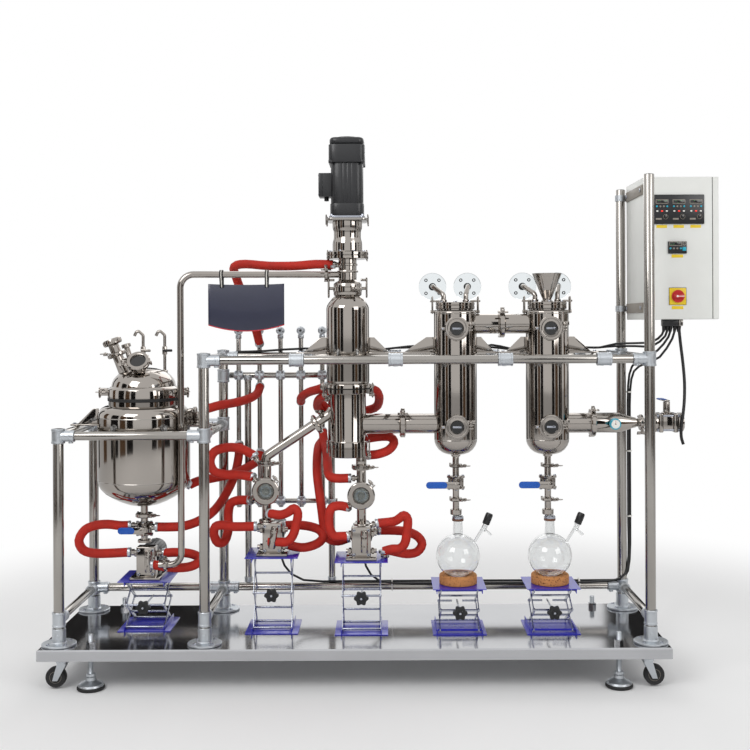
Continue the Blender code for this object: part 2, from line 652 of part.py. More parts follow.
def make_evaporator():
    x, y = EVAPORATOR_X, COLUMN_Y
    outer = [(0, NECK_TOP_Z), (NECK_RADIUS, NECK_TOP_Z), (NECK_RADIUS, HEAD_CLAMP_TOP_Z + 0.009),
             (HEAD_CLAMP_RADIUS, HEAD_CLAMP_TOP_Z - 0.006), (HEAD_CLAMP_RADIUS, HEAD_CLAMP_BOTTOM_Z),
             (0.070, UPPER_BODY_TOP_Z + 0.017),
             (UPPER_BODY_RADIUS, UPPER_BODY_TOP_Z - 0.006), (UPPER_BODY_RADIUS, JOINT_TOP_Z + 0.001),
             (UPPER_BODY_RADIUS + 0.005, JOINT_TOP_Z), (UPPER_BODY_RADIUS + 0.005, JOINT_BOTTOM_Z),
             (LOWER_BODY_RADIUS, JOINT_BOTTOM_Z - 0.002), (LOWER_BODY_RADIUS, FOOT_FLANGE_TOP_Z + 0.002),
             (FOOT_FLANGE_RADIUS, FOOT_FLANGE_TOP_Z), (FOOT_FLANGE_RADIUS, EVAPORATOR_BOTTOM_Z),
             (0, EVAPORATOR_BOTTOM_Z)]
    body = turned(outer, (x, y, 0), 16)
    bore = turned([(0, NECK_TOP_Z + 0.01), (SHAFT_RADIUS + 0.004, NECK_TOP_Z + 0.01), (SHAFT_RADIUS + 0.004, 1.420),
                   (0.045, 1.405), (BORE_RADIUS, 1.375), (BORE_RADIUS, EVAPORATOR_BOTTOM_Z + 0.020),
                   (0, EVAPORATOR_BOTTOM_Z + 0.020)], (x, y, 0), 16)
    reach = EVAPORATOR_X - HANGER_X[0]
    joined = lug(x, y, -UPPER_BODY_RADIUS + 0.003, -reach - BAR_RADIUS)
    joined += lug(x, y, UPPER_BODY_RADIUS - 0.003, HANGER_X[1] - EVAPORATOR_X - 0.001)
    clamp_x = VAPOUR_CLAMP_X - SEAT / 2
    joined += [
        rod((x + BORE_RADIUS * 0.80, y, VAPOUR_Z), (clamp_x - 0.004, y, VAPOUR_Z), VAPOUR_PIPE_RADIUS, 10),
        rod((clamp_x - CLAMP_HALF, y, VAPOUR_Z), (clamp_x, y, VAPOUR_Z), CLAMP_RADIUS, 12),
        rod((x - NECK_RADIUS + 0.004, y, 1.5429), (x - NECK_RADIUS - 0.030, y, 1.5429), 0.010, 6),
    ]
    outlet_x = PUMP_JACKS[2][0]
    joined += [
        rod((outlet_x, y, EVAPORATOR_BOTTOM_Z + 0.010), (outlet_x, y, SIGHT_TEE_TOP[1] + 0.004), 0.020, 8),
        rod((outlet_x, y, SIGHT_TEE_TOP[1] + SEAT), (outlet_x, y, SIGHT_TEE_TOP[1] + 0.009), 0.034, 12),
    ]
    elbow_x = PUMP_JACKS[1][0] - 0.026
    slant = with_bends([(x - LOWER_BODY_RADIUS - 0.004, y, 0.972), (elbow_x, y, 0.812),
                        (elbow_x, y, SIGHT_TEE_TOP[0] + 0.004)], 0.030, 3)
    joined.append(pipe(slant, 0.0185, 10))
    joined.append(rod((elbow_x, y, SIGHT_TEE_TOP[0] + SEAT), (elbow_x, y, SIGHT_TEE_TOP[0] + 0.009), 0.034, 12))
    collar = Vector((x - 0.120, y, 0.930))
    tilt = Vector((-0.87, 0, -0.50)) * 0.009
    joined.append(rod(collar - tilt, collar + tilt, 0.034, 12))
    node("evaporator_body", body, joined, [bore])

    shaft = rod((x, y, EVAPORATOR_BOTTOM_Z + 0.022), (x, y, NECK_TOP_Z), SHAFT_RADIUS)
    low, high = 0.860, 1.360
    blades = [block((x - BLADE_RADIUS, y - BLADE_THICK / 2, low), (x + BLADE_RADIUS, y + BLADE_THICK / 2, high)),
              block((x - BLADE_THICK / 2, y - BLADE_RADIUS, low), (x + BLADE_THICK / 2, y + BLADE_RADIUS, high))]
    discs = [rod((x, y, z - 0.003), (x, y, z + 0.003), 0.024, 8) for z in (low - 0.002, high + 0.002)]
    node("wiper_rotor", shaft, blades + discs, pivot=(x, y, NECK_TOP_Z))

    bottom = NECK_TOP_Z + SEAT
    housing = [(0, MOTOR_PLATE_Z + 0.002), (0.057, MOTOR_PLATE_Z + 0.002), (0.057, 1.690), (0.049, 1.680),
               (0.049, 1.625), (0.057, 1.612), (0.057, bottom + 0.027), (MOTOR_FLANGE_RADIUS, bottom + 0.027),
               (MOTOR_FLANGE_RADIUS, bottom), (0, bottom)]
    plate_top = MOTOR_PLATE_Z + 0.018
    joined = [
        rod((x, y, MOTOR_PLATE_Z), (x, y, plate_top), 0.088, 16),
        rod((x, y, plate_top - 0.002), (x, y, FAN_COVER_BOTTOM_Z), MOTOR_RADIUS, 16),
        turned([(0, MOTOR_TOP_Z), (FAN_COVER_RADIUS - 0.012, MOTOR_TOP_Z), (FAN_COVER_RADIUS, MOTOR_TOP_Z - 0.012),
                (FAN_COVER_RADIUS, FAN_COVER_BOTTOM_Z - 0.004), (0, FAN_COVER_BOTTOM_Z - 0.004)], (x, y, 0), 16),
        block((x - 0.108, y - 0.036, 1.800), (x - 0.050, y + 0.036, 1.890), 0.006),
    ]
    node("drive_motor", turned(housing, (x, y, 0), 16), joined, finish=MOTOR_BLACK)



# Pumps with their sight tees

def make_pump(name, x, y, seat_z, tee_top=None, tee_x=None):
    """A heated gear pump on its base plate, with the sight tee that feeds it."""
    floor = seat_z + SEAT
    head_z = floor + 0.080
    motor_z = floor + 0.078
    base = block((x - 0.058, y - 0.080, floor), (x + 0.058, y + 0.080, floor + 0.010))
    joined = [
        block((x - 0.036, y - 0.062, floor + 0.008), (x + 0.036, y - 0.010, floor + 0.124)),
        rod((x, y - 0.014, head_z), (x, y + 0.026, head_z), 0.042, 10),
        rod((x, y + 0.020, motor_z), (x, y + 0.150, motor_z), 0.040, 12),
        block((x - 0.030, y + 0.030, floor + 0.006), (x + 0.030, y + 0.070, floor + 0.060)),
        rod((x + 0.012, y - 0.068, floor + 0.030), (x + 0.012, y - 0.068, floor + 0.112), 0.014, 8),
        rod((x + 0.012, y - 0.068, floor + 0.070), (x + 0.012, y - 0.040, floor + 0.070), 0.009, 6),
    ]
    if tee_top:
        middle = tee_top - 0.104
        joined += [
            rod((tee_x, y, tee_top - 0.004), (tee_x, y, floor + 0.120), 0.018, 8),
            rod((tee_x, y, tee_top - 0.009), (tee_x, y, tee_top), 0.034, 12),
            turned([(0, 0.066), (0.040, 0.066), (0.040, 0.009), (0.052, 0.009), (0.052, -0.009), (0.030, -0.009),
                    (0.028, 0.002), (0, 0.002)], (tee_x, y - 0.036, middle), 12, (0, 1, 0)),
            rod((tee_x, y, floor + 0.112), (tee_x, y, floor + 0.128), 0.030),
        ]
    node(name, base, joined)


# Cold traps

def sight_glass(x, y, z):
    return [turned([(0, 0.032), (0.026, 0.032), (0.026, 0.010), (GLASS_CLAMP_RADIUS, 0.008),
                    (GLASS_CLAMP_RADIUS, -0.008), (0, -0.008)],
                   (x, y - TRAP_RADIUS - 0.021, z), 10, (0, 1, 0))]


def trap_shapes(x):
    """The body of one cold trap, and the shapes that both traps have joined to it."""
    y = COLUMN_Y
    lid_top = TRAP_TOP_Z + TRAP_LID_THICK
    outer = [(0, lid_top), (TRAP_LID_RADIUS, lid_top), (TRAP_LID_RADIUS, TRAP_TOP_Z),
             (TRAP_LID_RADIUS - 0.006, TRAP_TOP_Z - 0.002), (TRAP_LID_RADIUS - 0.006, TRAP_TOP_Z - 0.005),
             (TRAP_RADIUS, TRAP_TOP_Z - 0.012), (TRAP_RADIUS, TRAP_STRAIGHT_BOTTOM_Z),
             (0.066, TRAP_BOTTOM_Z + 0.026), (0.036, TRAP_BOTTOM_Z + 0.006), (0, TRAP_BOTTOM_Z)]
    body = turned(outer, (x, y, 0), 16)
    joined = [rod((x, y, TRAP_BOTTOM_Z + 0.006), (x, y, 0.600), DRIP_RADIUS, 6),
              block((x - 0.022, y - 0.022, DRIP_VALVE_Z - 0.026), (x + 0.022, y + 0.022, DRIP_VALVE_Z + 0.026)),
              rod((x, y - 0.020, DRIP_VALVE_Z - 0.006), (x, y - 0.036, DRIP_VALVE_Z - 0.006), 0.009, 6),
              rod((x, y, FLASK_MOUTH_Z + 0.004), (x, y, FLASK_MOUTH_Z + 0.024), 0.022),
              rod((x, y, FLASK_MOUTH_Z + 0.010), (x, y, FLASK_MOUTH_Z + DRIP_END_GAP), 0.0085, 6)]
    for z in DRIP_CLAMP_Z:
        joined.append(rod((x, y, z - 0.009), (x, y, z + 0.009), 0.025, 8))
    for z in GLASS_Z:
        joined += sight_glass(x, y, z)
    for foot_x, disc_x in zip(COOLANT_FOOT_X, COOLANT_DISC_X):
        foot = Vector((x + foot_x, y + 0.020, lid_top - 0.004))
        end = Vector((x + disc_x, y + 0.095, lid_top + COOLANT_DISC_RISE))
        bow = with_bends([foot, Vector((foot.x, foot.y, end.z)), end], 0.020, 2)
        joined.append(pipe(bow, 0.010, 6))
        joined.append(rod(end - Vector((0, 0.004, 0)), end + Vector((0, 0.004, 0)), COOLANT_DISC_RADIUS, 10))
    return body, joined


def make_cold_traps():
    y = COLUMN_Y
    first, second = TRAP_X
    bridge_x = first + (second - first) * 0.504
    foot_gap = SEAT / 2
    body, joined = trap_shapes(first)
    joined += lug(first, y, -TRAP_RADIUS + 0.003, HANGER_X[1] - first + 0.001)
    joined += lug(first, y, TRAP_RADIUS - 0.003, HANGER_X[2] - first - 0.001)
    start_x = VAPOUR_CLAMP_X + foot_gap
    joined += [
        rod((first - TRAP_RADIUS * 0.7, y, VAPOUR_Z), (start_x + 0.004, y, VAPOUR_Z), VAPOUR_PIPE_RADIUS, 10),
        rod((start_x + CLAMP_HALF, y, VAPOUR_Z), (start_x, y, VAPOUR_Z), CLAMP_RADIUS, 12),
        rod((first + TRAP_RADIUS * 0.7, y, BRIDGE_Z), (bridge_x - 0.004, y, BRIDGE_Z), VAPOUR_PIPE_RADIUS, 10),
        rod((bridge_x - CLAMP_HALF, y, BRIDGE_Z), (bridge_x - foot_gap, y, BRIDGE_Z), CLAMP_RADIUS, 12),
    ]
    node("cold_trap_1", body, joined)

    body, joined = trap_shapes(second)
    joined += lug(second, y, -TRAP_RADIUS + 0.003, HANGER_X[2] - second + 0.001)
    joined += lug(second, y, TRAP_RADIUS - 0.003, HANGER_X[3] - second + BAR_RADIUS)
    lid_top = TRAP_TOP_Z + TRAP_LID_THICK
    valve_start, valve_end = VACUUM_VALVE_X
    middle = (valve_start + valve_end) / 2
    joined += [
        rod((second - TRAP_RADIUS * 0.7, y, BRIDGE_Z), (bridge_x + 0.004, y, BRIDGE_Z), VAPOUR_PIPE_RADIUS, 10),
        rod((bridge_x + CLAMP_HALF, y, BRIDGE_Z), (bridge_x + foot_gap, y, BRIDGE_Z), CLAMP_RADIUS, 12),
        rod((second + TRAP_RADIUS * 0.7, y, VAPOUR_Z), (VACUUM_PIPE_END_X, y, VAPOUR_Z), VAPOUR_PIPE_RADIUS, 10),
        rod((0.776, y, VAPOUR_Z), (0.796, y, VAPOUR_Z), CLAMP_RADIUS, 12),
        rod((VACUUM_PIPE_END_X - 0.003, y, VAPOUR_Z), (VACUUM_PIPE_END_X + 0.067, y, VAPOUR_Z),
            VAPOUR_PIPE_RADIUS - 0.0005, 10, 0.018),
        rod((VACUUM_PIPE_END_X + 0.060, y, VAPOUR_Z), (valve_end - 0.004, y, VAPOUR_Z), 0.016, 8),
        rod((0.965, y, VAPOUR_Z), (0.979, y, VAPOUR_Z), 0.030),
        block((middle - 0.028, y - 0.030, VAPOUR_Z - 0.032), (middle + 0.028, y + 0.030, VAPOUR_Z + 0.032)),
        rod((valve_start, y, VAPOUR_Z), (valve_start + 0.026, y, VAPOUR_Z), 0.037),
        rod((valve_end - 0.026, y, VAPOUR_Z), (valve_end, y, VAPOUR_Z), 0.037),
        rod((middle, y, VAPOUR_Z + 0.030), (middle, y, VAPOUR_Z + 0.080), 0.013, 6),
        rod((0.862, y - VAPOUR_PIPE_RADIUS + 0.010, VAPOUR_Z), (0.862, y - VAPOUR_PIPE_RADIUS - 0.030, VAPOUR_Z), 0.021),
        turned([(0.056, 0.108), (0.056, 0.100), (0.020, 0.020), (0.016, -0.006), (0.010, -0.006), (0.014, 0.020),
                (0.052, 0.108)], (second, y, lid_top), 10, closed=True),
    ]
    node("cold_trap_2", body, joined)
    for label, x in (("1", first), ("2", second)):
        valve_lever(f"trap_{label}_valve_lever", (x, y - 0.036 - SEAT, DRIP_VALVE_Z - 0.006), 0.115)
    valve_lever("vacuum_valve_lever", (middle, y, VAPOUR_Z + 0.080 + SEAT), 0.115, 'Z', 1)


# Lab jacks

def jack_heights(top_z):
    """Pivot heights and the arm's length along Y, for a jack at the given top height."""
    low = DECK_TOP + JACK_PIVOT_RISE
    high = top_z - JACK_PIVOT_RISE
    rise = (high - low) / 2
    run = sqrt(JACK_ARM ** 2 - rise ** 2)
    return low, low + rise, high, run


def arm_plate(start, end, x, holes):
    """One flat arm between two pivots, with round ends, in the plane at x."""
    start, end = Vector(start), Vector(end)
    along = (end - start).normalized()
    across = Vector((-along.y, along.x))
    half = JACK_ARM_WIDTH / 2
    outline = []
    for centre, sign in ((end, 1), (start, -1)):
        for turn in (-70, 0, 70):
            t = radians(turn)
            outline.append(centre + (along * cos(t) * sign + across * sin(t) * sign) * half)
    cuts = [circle(bore_radius(JACK_ROD_RADIUS, 6), 6, hole) for hole in holes]
    return plate([tuple(point) for point in outline], JACK_ARM_THICK, (x, 0, 0), 'X', cuts)


def jack_rod(x, y, z, half_length, sides=6):
    return rod((x - half_length, y, z), (x + half_length, y, z), JACK_ROD_RADIUS, sides)


def folded_plate(x, y, z, turn, flange_gap=0.0095):
    """A jack's plate with two turned-down flanges; turn is 1 with the flanges up and -1 with them down."""
    half = JACK_PLATE / 2
    reach = half - JACK_FLANGE_SETBACK
    sheet = 0.0025
    flange_x = JACK_HALF_SPACING + JACK_ARM_THICK / 2 + flange_gap
    low, high = sorted((z, z + turn * sheet))
    shapes = [block((x - half, y - half, low), (x + half, y + half, high))]
    low, high = sorted((z + turn * 0.001, z + turn * 0.018))
    for side in (-1, 1):
        near, far = sorted((x + side * flange_x, x + side * (flange_x + sheet)))
        shapes.append(block((near, y - reach, low), (far, y + reach, high)))
    return shapes


def star_knob(x, y, z):
    lobes = [(radius * cos(pi * i / 6), radius * sin(pi * i / 6))
             for i, radius in enumerate([0.028, 0.020] * 6)]
    return [plate(lobes, 0.016, (x, y, z), 'Y')]


def slot_cut(x, y, z, start, end):
    """A cutter for the slots in which a plate's sliding rod runs."""
    reach = JACK_HALF_SPACING + 0.030
    half = JACK_ROD_RADIUS + FIT
    return block((x - reach, y + start, z - half), (x + reach, y + end, z + half))


def make_flask_jack(label, x, y):
    """A working scissor jack: base, four pairs of arms, top plate, and the screw with its knob."""
    low, middle, high, run = jack_heights(FLASK_JACK_TOP_Z)
    front = y - run / 2
    rear = y + run / 2
    spread = JACK_HALF_SPACING
    step = JACK_ARM_THICK + FIT
    outer = {side: x + side * spread for side in (-1, 1)}
    inner = {side: x + side * (spread - step) for side in (-1, 1)}
    whole = spread + 0.016
    inside = spread + 0.004
    lower_centre = (y, (low + middle) / 2)
    upper_centre = (y, (middle + high) / 2)
    lowest = asin((middle - low) / JACK_ARM) - radians(JACK_TRAVEL)
    slot_start = run / 2 - JACK_ROD_RADIUS
    slot_end = JACK_ARM * cos(lowest) - run / 2 + JACK_ROD_RADIUS + 2 * FIT

    shapes = folded_plate(x, y, DECK_TOP + SEAT, 1)
    base = node(f"{label}_jack_base", shapes[0], shapes[1:] + [jack_rod(x, front, low, whole)],
                [slot_cut(x, y, low, slot_start, slot_end)], JACK_BLUE)

    def arms(name, plane, start, end, holes, rods, pivot, on):
        plates = [arm_plate(start, end, plane[side], holes) for side in (-1, 1)]
        return node(f"{label}_jack_{name}", plates[0], plates[1:] + rods, (), STEEL, pivot, on)

    ends = spread + 0.003
    stub = 0.020
    split_rod = [rod((x + side * stub, rear, middle), (x + side * inside, rear, middle), JACK_ROD_RADIUS, 6)
                 for side in (-1, 1)]
    lower_a = arms("lower_arms_a", outer, (front, low), (rear, middle), [(front, low)],
                   [jack_rod(x, y, lower_centre[1], ends)] + split_rod, (x, front, low), base)
    lower_b = arms("lower_arms_b", inner, (rear, low), (front, middle), [lower_centre],
                   [jack_rod(x, rear, low, whole), jack_rod(x, front, middle, inside)],
                   (x, *lower_centre), lower_a)
    upper_b = arms("upper_arms_b", inner, (rear, middle), (front, high), [(rear, middle), (front, high)],
                   [jack_rod(x, upper_centre[0], upper_centre[1], ends)], (x, rear, middle), lower_a)
    arms("upper_arms_a", outer, (front, middle), (rear, high), [(front, middle), upper_centre],
         [jack_rod(x, rear, high, whole)], (x, *upper_centre), upper_b)

    shapes = folded_plate(x, y, FLASK_JACK_TOP_Z, -1)
    top = node(f"{label}_jack_top", shapes[0], shapes[1:] + [jack_rod(x, front, high, whole)],
               [slot_cut(x, y, high, slot_start, slot_end)], JACK_BLUE, (x, front, high), upper_b)

    knob_y = front - 0.040
    block_half = 0.010
    screw = rod((x, knob_y + 0.004, middle), (x, rear + 0.012, middle), 0.0035, 6)
    yoke = block((x - block_half, front - 0.008, middle - 0.008), (x + block_half, front + 0.008, middle + 0.008))
    bore = rod((x - block_half - 0.001, front, middle), (x + block_half + 0.001, front, middle),
               (JACK_ROD_RADIUS + FIT / 2) / cos(pi / 6), 6)
    node(f"{label}_jack_screw", yoke, [star_knob(x, knob_y, middle)[0], screw], [bore], BLACK,
         (x, front, middle), lower_b)
    return top


def make_pump_jack(label, x, y, top_z):
    """A jack under a pump. The piping holds the pump, so this jack is set once and is one piece."""
    low, middle, high, run = jack_heights(top_z)
    front, rear = y - run / 2, y + run / 2
    shapes = folded_plate(x, y, DECK_TOP + SEAT, 1, -0.0004) + folded_plate(x, y, top_z, -1, -0.0004)
    short = JACK_HALF_SPACING - JACK_ARM_THICK
    for level_low, level_high in ((low, middle), (middle, high)):
        for shift, start, end in ((0.0, front, rear), (JACK_ARM_THICK - 0.0004, rear, front)):
            for side in (-1, 1):
                plane = x + side * (JACK_HALF_SPACING - shift)
                shapes.append(arm_plate((start, level_low), (end, level_high), plane, ()))
        shapes.append(jack_rod(x, y, (level_low + level_high) / 2, short, 5))
    for rod_y, z, outer_only in ((front, low, True), (rear, low, False), (front, middle, False),
                                 (rear, middle, False), (front, high, False), (rear, high, True)):
        shapes.append(jack_rod(x, rod_y, z, JACK_HALF_SPACING if outer_only else short, 5))
    shapes += star_knob(x, front - 0.040, middle)
    shapes.append(rod((x, front - 0.036, middle), (x, rear + 0.012, middle), 0.0035, 6))
    node(f"{label}_jack", shapes[0], shapes[1:], finish=JACK_BLUE)


# Receiving flasks on their cork rings

def make_flask(label, x, y, top_plate):
    neck = FLASK_NECK_RADIUS
    inner_radius = FLASK_RADIUS - FLASK_WALL
    lip = FLASK_MOUTH_Z
    join_inner = 90 - asin((neck - FLASK_WALL) / inner_radius) * 180 / pi
    join_outer = 90 - asin(neck / FLASK_RADIUS) * 180 / pi
    inside = arc(inner_radius, -90, join_inner, 5, (0, FLASK_Z))
    outside = arc(FLASK_RADIUS, join_outer, -90, 7, (0, FLASK_Z))
    inside[0], outside[-1] = (0, FLASK_Z - inner_radius), (0, FLASK_Z - FLASK_RADIUS)

    cork_bottom = FLASK_JACK_TOP_Z + SEAT
    rest = cork_bottom + CORK_HEIGHT
    above, below = [pair for pair in zip(outside, outside[1:]) if pair[0][1] > rest >= pair[1][1]][-1]
    share = (rest - below[1]) / (above[1] - below[1])
    seat_radius = below[0] + share * (above[0] - below[0]) + SEAT
    ring = [(seat_radius, rest), (CORK_RADIUS - 0.003, rest), (CORK_RADIUS, rest - 0.003),
            (CORK_RADIUS, cork_bottom), (seat_radius - 0.012, cork_bottom)]
    node(f"cork_ring_{label}", turned(ring, (x, y, 0), 24, closed=True), finish=CORK, on=top_plate)

    mouth = [(neck - FLASK_WALL, lip), (neck + 0.003, lip), (neck + 0.003, lip - 0.010), (neck, lip - 0.014)]
    shell = turned(inside + mouth + outside, (x, y, 0), 12)
    shoulder = Vector((x, y, FLASK_Z)) + Vector((0.70, 0, 0.714)) * (FLASK_RADIUS - 0.002)
    arm_end = shoulder + Vector((0.030, 0, 0.048))
    joined = [pipe([shoulder, shoulder + Vector((0.010, 0, 0.020)), arm_end], 0.0065, 6),
              rod(arm_end - Vector((0.002, 0, 0.004)), arm_end + Vector((0.009, 0, 0.022)), 0.012, 8)]
    node(f"receiving_flask_{label}", shell, joined, finish=GLASS, on=top_plate)


# Feed pipe, sign board and heating manifold

def make_feed_pipe():
    pump_x, pump_y, pump_top = PUMP_JACKS[0]
    start_z = pump_top + SEAT + 0.070
    line = with_bends([
        (pump_x + 0.062 + SEAT, pump_y - 0.120, start_z),
        (FEED_RISER_X, pump_y - 0.120, start_z),
        (FEED_RISER_X, pump_y - 0.120, FEED_TOP_Z),
        (EVAPORATOR_X - NECK_RADIUS - SEAT - 0.0002, COLUMN_Y, FEED_TOP_Z),
    ], FEED_BEND, 3)
    base = pipe(line, FEED_RADIUS, 8)
    end = line[-1]
    back = (line[-2] - end).normalized()
    joined = [rod(end + back * 0.040, end + back * 0.054, 0.025),
              rod(line[0] + Vector((0.020, 0, 0)), line[0] + Vector((0.034, 0, 0)), 0.025)]
    node("feed_pipe", base, joined)


def make_sign_board():
    pump_y = PUMP_JACKS[0][1] - 0.120
    slope = (COLUMN_Y - pump_y) / (EVAPORATOR_X - FEED_RISER_X)
    left, right = SIGN_LEFT_X, SIGN_LEFT_X + SIGN_WIDTH
    middle = (left + right) / 2
    y = pump_y + slope * (middle - FEED_RISER_X)
    bottom = SIGN_TOP_Z - SIGN_HEIGHT
    sag = 0.012
    top_edge = [(middle + SIGN_WIDTH * (0.5 - i / 6), SIGN_TOP_Z - 0.004 * (1 - (1 - i / 3) ** 2)) for i in range(7)]
    low_edge = [(middle - SIGN_WIDTH * (0.5 - i / 6), bottom - sag * (1 - (1 - i / 3) ** 2) + 0.012) for i in range(7)]
    board = plate(top_edge + low_edge, SIGN_THICK, (0, y, 0), 'Y')
    joined = []
    for x in (left + 0.052, right - 0.066):
        pipe_y = pump_y + slope * (x - FEED_RISER_X)
        over = (FEED_RADIUS + TWINE_RADIUS + 2 * FIT) / cos(radians(22.5))
        ring = [(x, pipe_y + across, FEED_TOP_Z + up) for across, up in arc(over, 0, 180, 4)]
        ring += [(x, y + across, SIGN_TOP_Z - 0.012) for across in (-0.003, 0.003)]
        joined.append(pipe(ring, TWINE_RADIUS, 6, closed=True))
    node("sign_board", board, joined, finish=NAVY)


def make_manifold():
    """Five risers with a cock on each, the two rails that feed them, and two legs on the rear rail."""
    y = MANIFOLD_Y
    leg_y = y - 0.020
    start = POST_MIDDLE_X + SLEEVE_RADIUS + SEAT
    foot = LOW_BAR_Z + BAR_RADIUS + SEAT
    base = rod((start, y, MANIFOLD_HIGH_Z), (RISER_X[-1] + 0.030, y, MANIFOLD_HIGH_Z), MANIFOLD_HIGH_RADIUS, 6)
    joined = [rod((RISER_X[0] - 0.030, y, MANIFOLD_LOW_Z), (RISER_X[-1] + 0.060, y, MANIFOLD_LOW_Z),
                  MANIFOLD_LOW_RADIUS, 6)]
    for x in RISER_X:
        joined.append(rod((x, y, RISER_BOTTOM_Z), (x, y, COCK_Z + 0.006), RISER_RADIUS, 6))
        joined.append(rod((x, y + 0.010, COCK_Z), (x, y - 0.026, COCK_Z), COCK_RADIUS))
    for x in MANIFOLD_LEG_X:
        joined.append(rod((x, leg_y, foot), (x, leg_y, MANIFOLD_HIGH_Z + 0.004), MANIFOLD_LEG_RADIUS, 6))
    node("heating_manifold", base, joined)


# Control box

def make_control_box():
    left, right = BOX_LEFT_X, BOX_LEFT_X + BOX_WIDTH
    front, rear = BOX_FRONT_Y + DOOR_THICK + SEAT, BOX_FRONT_Y + BOX_DEPTH
    bottom, top = BOX_BOTTOM_Z, BOX_BOTTOM_Z + BOX_HEIGHT
    case = block((left, front, bottom), (right, rear, top))
    hollow = block((left + BOX_SHEET, front - 0.01, bottom + BOX_SHEET),
                   (right - BOX_SHEET, rear - BOX_SHEET, top - BOX_SHEET))
    gland_x, gland_y = left + 0.114, front + 0.040
    joined = [block((gland_x - 0.038, gland_y - 0.020, bottom - 0.026),
                    (gland_x + 0.038, gland_y + 0.020, bottom + 0.001), 0.003)]
    strap_x = POST_RIGHT_X + POST_RADIUS + SEAT
    for z in (bottom + STRAP_INSET, top - STRAP_INSET):
        joined.append(block((strap_x, rear - STRAP_LENGTH / 2, z - STRAP_WIDTH / 2),
                            (left + 0.001, rear + STRAP_LENGTH / 2, z + STRAP_WIDTH / 2)))
    box = node("control_box", case, joined, [hollow], PALE_GREY)

    hinge = (right, BOX_FRONT_Y + DOOR_THICK, (bottom + top) / 2)
    door = block((left, BOX_FRONT_Y, bottom + 0.001), (right, BOX_FRONT_Y + DOOR_THICK, top - 0.001), 0.003)
    panel_z = BOX_BOTTOM_Z + 0.450
    fittings = [
        block((left + 0.026, BOX_FRONT_Y - 0.006, panel_z - 0.062), (left + 0.214, BOX_FRONT_Y + 0.002, panel_z + 0.056)),
        block((left + 0.086, BOX_FRONT_Y - 0.006, 1.580), (left + 0.156, BOX_FRONT_Y + 0.002, 1.624)),
        block((left + 0.090, BOX_FRONT_Y - 0.003, 1.384), (left + 0.154, BOX_FRONT_Y + 0.002, 1.448)),
    ]
    door_node = node("box_door", door, fittings, finish=PALE_GREY, pivot=hinge, on=box)
    knob_at = Vector((left + 0.122, BOX_FRONT_Y - 0.003 - SEAT, 1.416))
    knob = rod(knob_at, knob_at - Vector((0, 0.008, 0)), 0.024, 16)
    grip = block(knob_at + Vector((-0.021, -0.024, -0.006)), knob_at + Vector((0.021, -0.006, 0.006)), 0.002)
    node("main_switch", knob, [grip], finish=RED, pivot=knob_at, on=door_node)


make_deck()
make_feet()
make_casters()
make_frame()
make_reactor()
make_evaporator()
make_cold_traps()
make_pump("feed_pump", *PUMP_JACKS[0])
make_pump("residue_pump", *PUMP_JACKS[1], SIGHT_TEE_TOP[0], PUMP_JACKS[1][0] - 0.026)
make_pump("distillate_pump", *PUMP_JACKS[2], SIGHT_TEE_TOP[1], PUMP_JACKS[2][0])
for label, place_at in zip(("feed_pump", "residue_pump", "distillate_pump"), PUMP_JACKS):
    make_pump_jack(label, *place_at)
for number, trap_x in enumerate(TRAP_X, 1):
    plate_node = make_flask_jack(f"flask_{number}", trap_x + 0.007, COLUMN_Y)
    make_flask(str(number), trap_x + 0.007, COLUMN_Y, plate_node)
make_feed_pipe()
make_sign_board()
make_manifold()
make_control_box()

bpy.context.view_layer.update()
for piece, holder in carried:
    piece.parent = holder
    piece.matrix_parent_inverse = holder.matrix_world.inverted()
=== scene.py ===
"""Molecular distillation unit: finished surfaces, stage and camera over the fixed frame."""

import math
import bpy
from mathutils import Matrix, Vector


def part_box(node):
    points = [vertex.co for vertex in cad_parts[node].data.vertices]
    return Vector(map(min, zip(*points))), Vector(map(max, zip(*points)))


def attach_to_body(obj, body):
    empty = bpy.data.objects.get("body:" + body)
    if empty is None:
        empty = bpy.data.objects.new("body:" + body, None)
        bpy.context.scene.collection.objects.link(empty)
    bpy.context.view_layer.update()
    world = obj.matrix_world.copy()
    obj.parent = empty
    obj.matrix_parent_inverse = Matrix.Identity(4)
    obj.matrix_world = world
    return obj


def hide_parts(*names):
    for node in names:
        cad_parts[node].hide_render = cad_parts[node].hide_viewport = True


bl_info = {
    "name": "Molecular distillation unit",
    "version": (1, 0, 0),
    "blender": (4, 5, 0),
    "location": "View3D > Sidebar > Distillation",
    "description": "Builds the finished surfaces of a frame-mounted distillation unit",
    "category": "Object",
}

import bpy
from bpy.props import FloatProperty, FloatVectorProperty, PointerProperty
from mathutils import Matrix, Quaternion, Vector

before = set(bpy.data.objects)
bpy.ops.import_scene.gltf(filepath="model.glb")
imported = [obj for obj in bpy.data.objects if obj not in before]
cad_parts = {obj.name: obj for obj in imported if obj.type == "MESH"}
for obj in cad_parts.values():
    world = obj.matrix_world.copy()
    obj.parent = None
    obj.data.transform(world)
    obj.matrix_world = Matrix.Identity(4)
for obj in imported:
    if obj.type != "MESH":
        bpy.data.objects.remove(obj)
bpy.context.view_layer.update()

# Heights and places that the pieces share, in metres
DECK_TOP = 0.155
LOW_BAR, MID_BAR, HIGH_BAR = 0.248, 0.914, 1.1865
FRAME_Y = 0.24
POSTS = (-1.194, -0.664, 0.958)
HANGERS = (-0.3265, 0.034, 0.4335, 0.7925)
COLUMN_Y = -0.04
REACTOR_X = -0.935
EVAPORATOR_X = -0.146
TRAPS_X = (0.264, 0.615)
PUMPS = {"feed": (-0.922, 0.02, 0.344), "residue": (-0.435, -0.02, 0.4405),
         "distillate": (-0.097, -0.04, 0.4276)}
RISERS = (-0.606, -0.52, -0.434, -0.35, -0.2625)
MANIFOLD_Y = 0.273
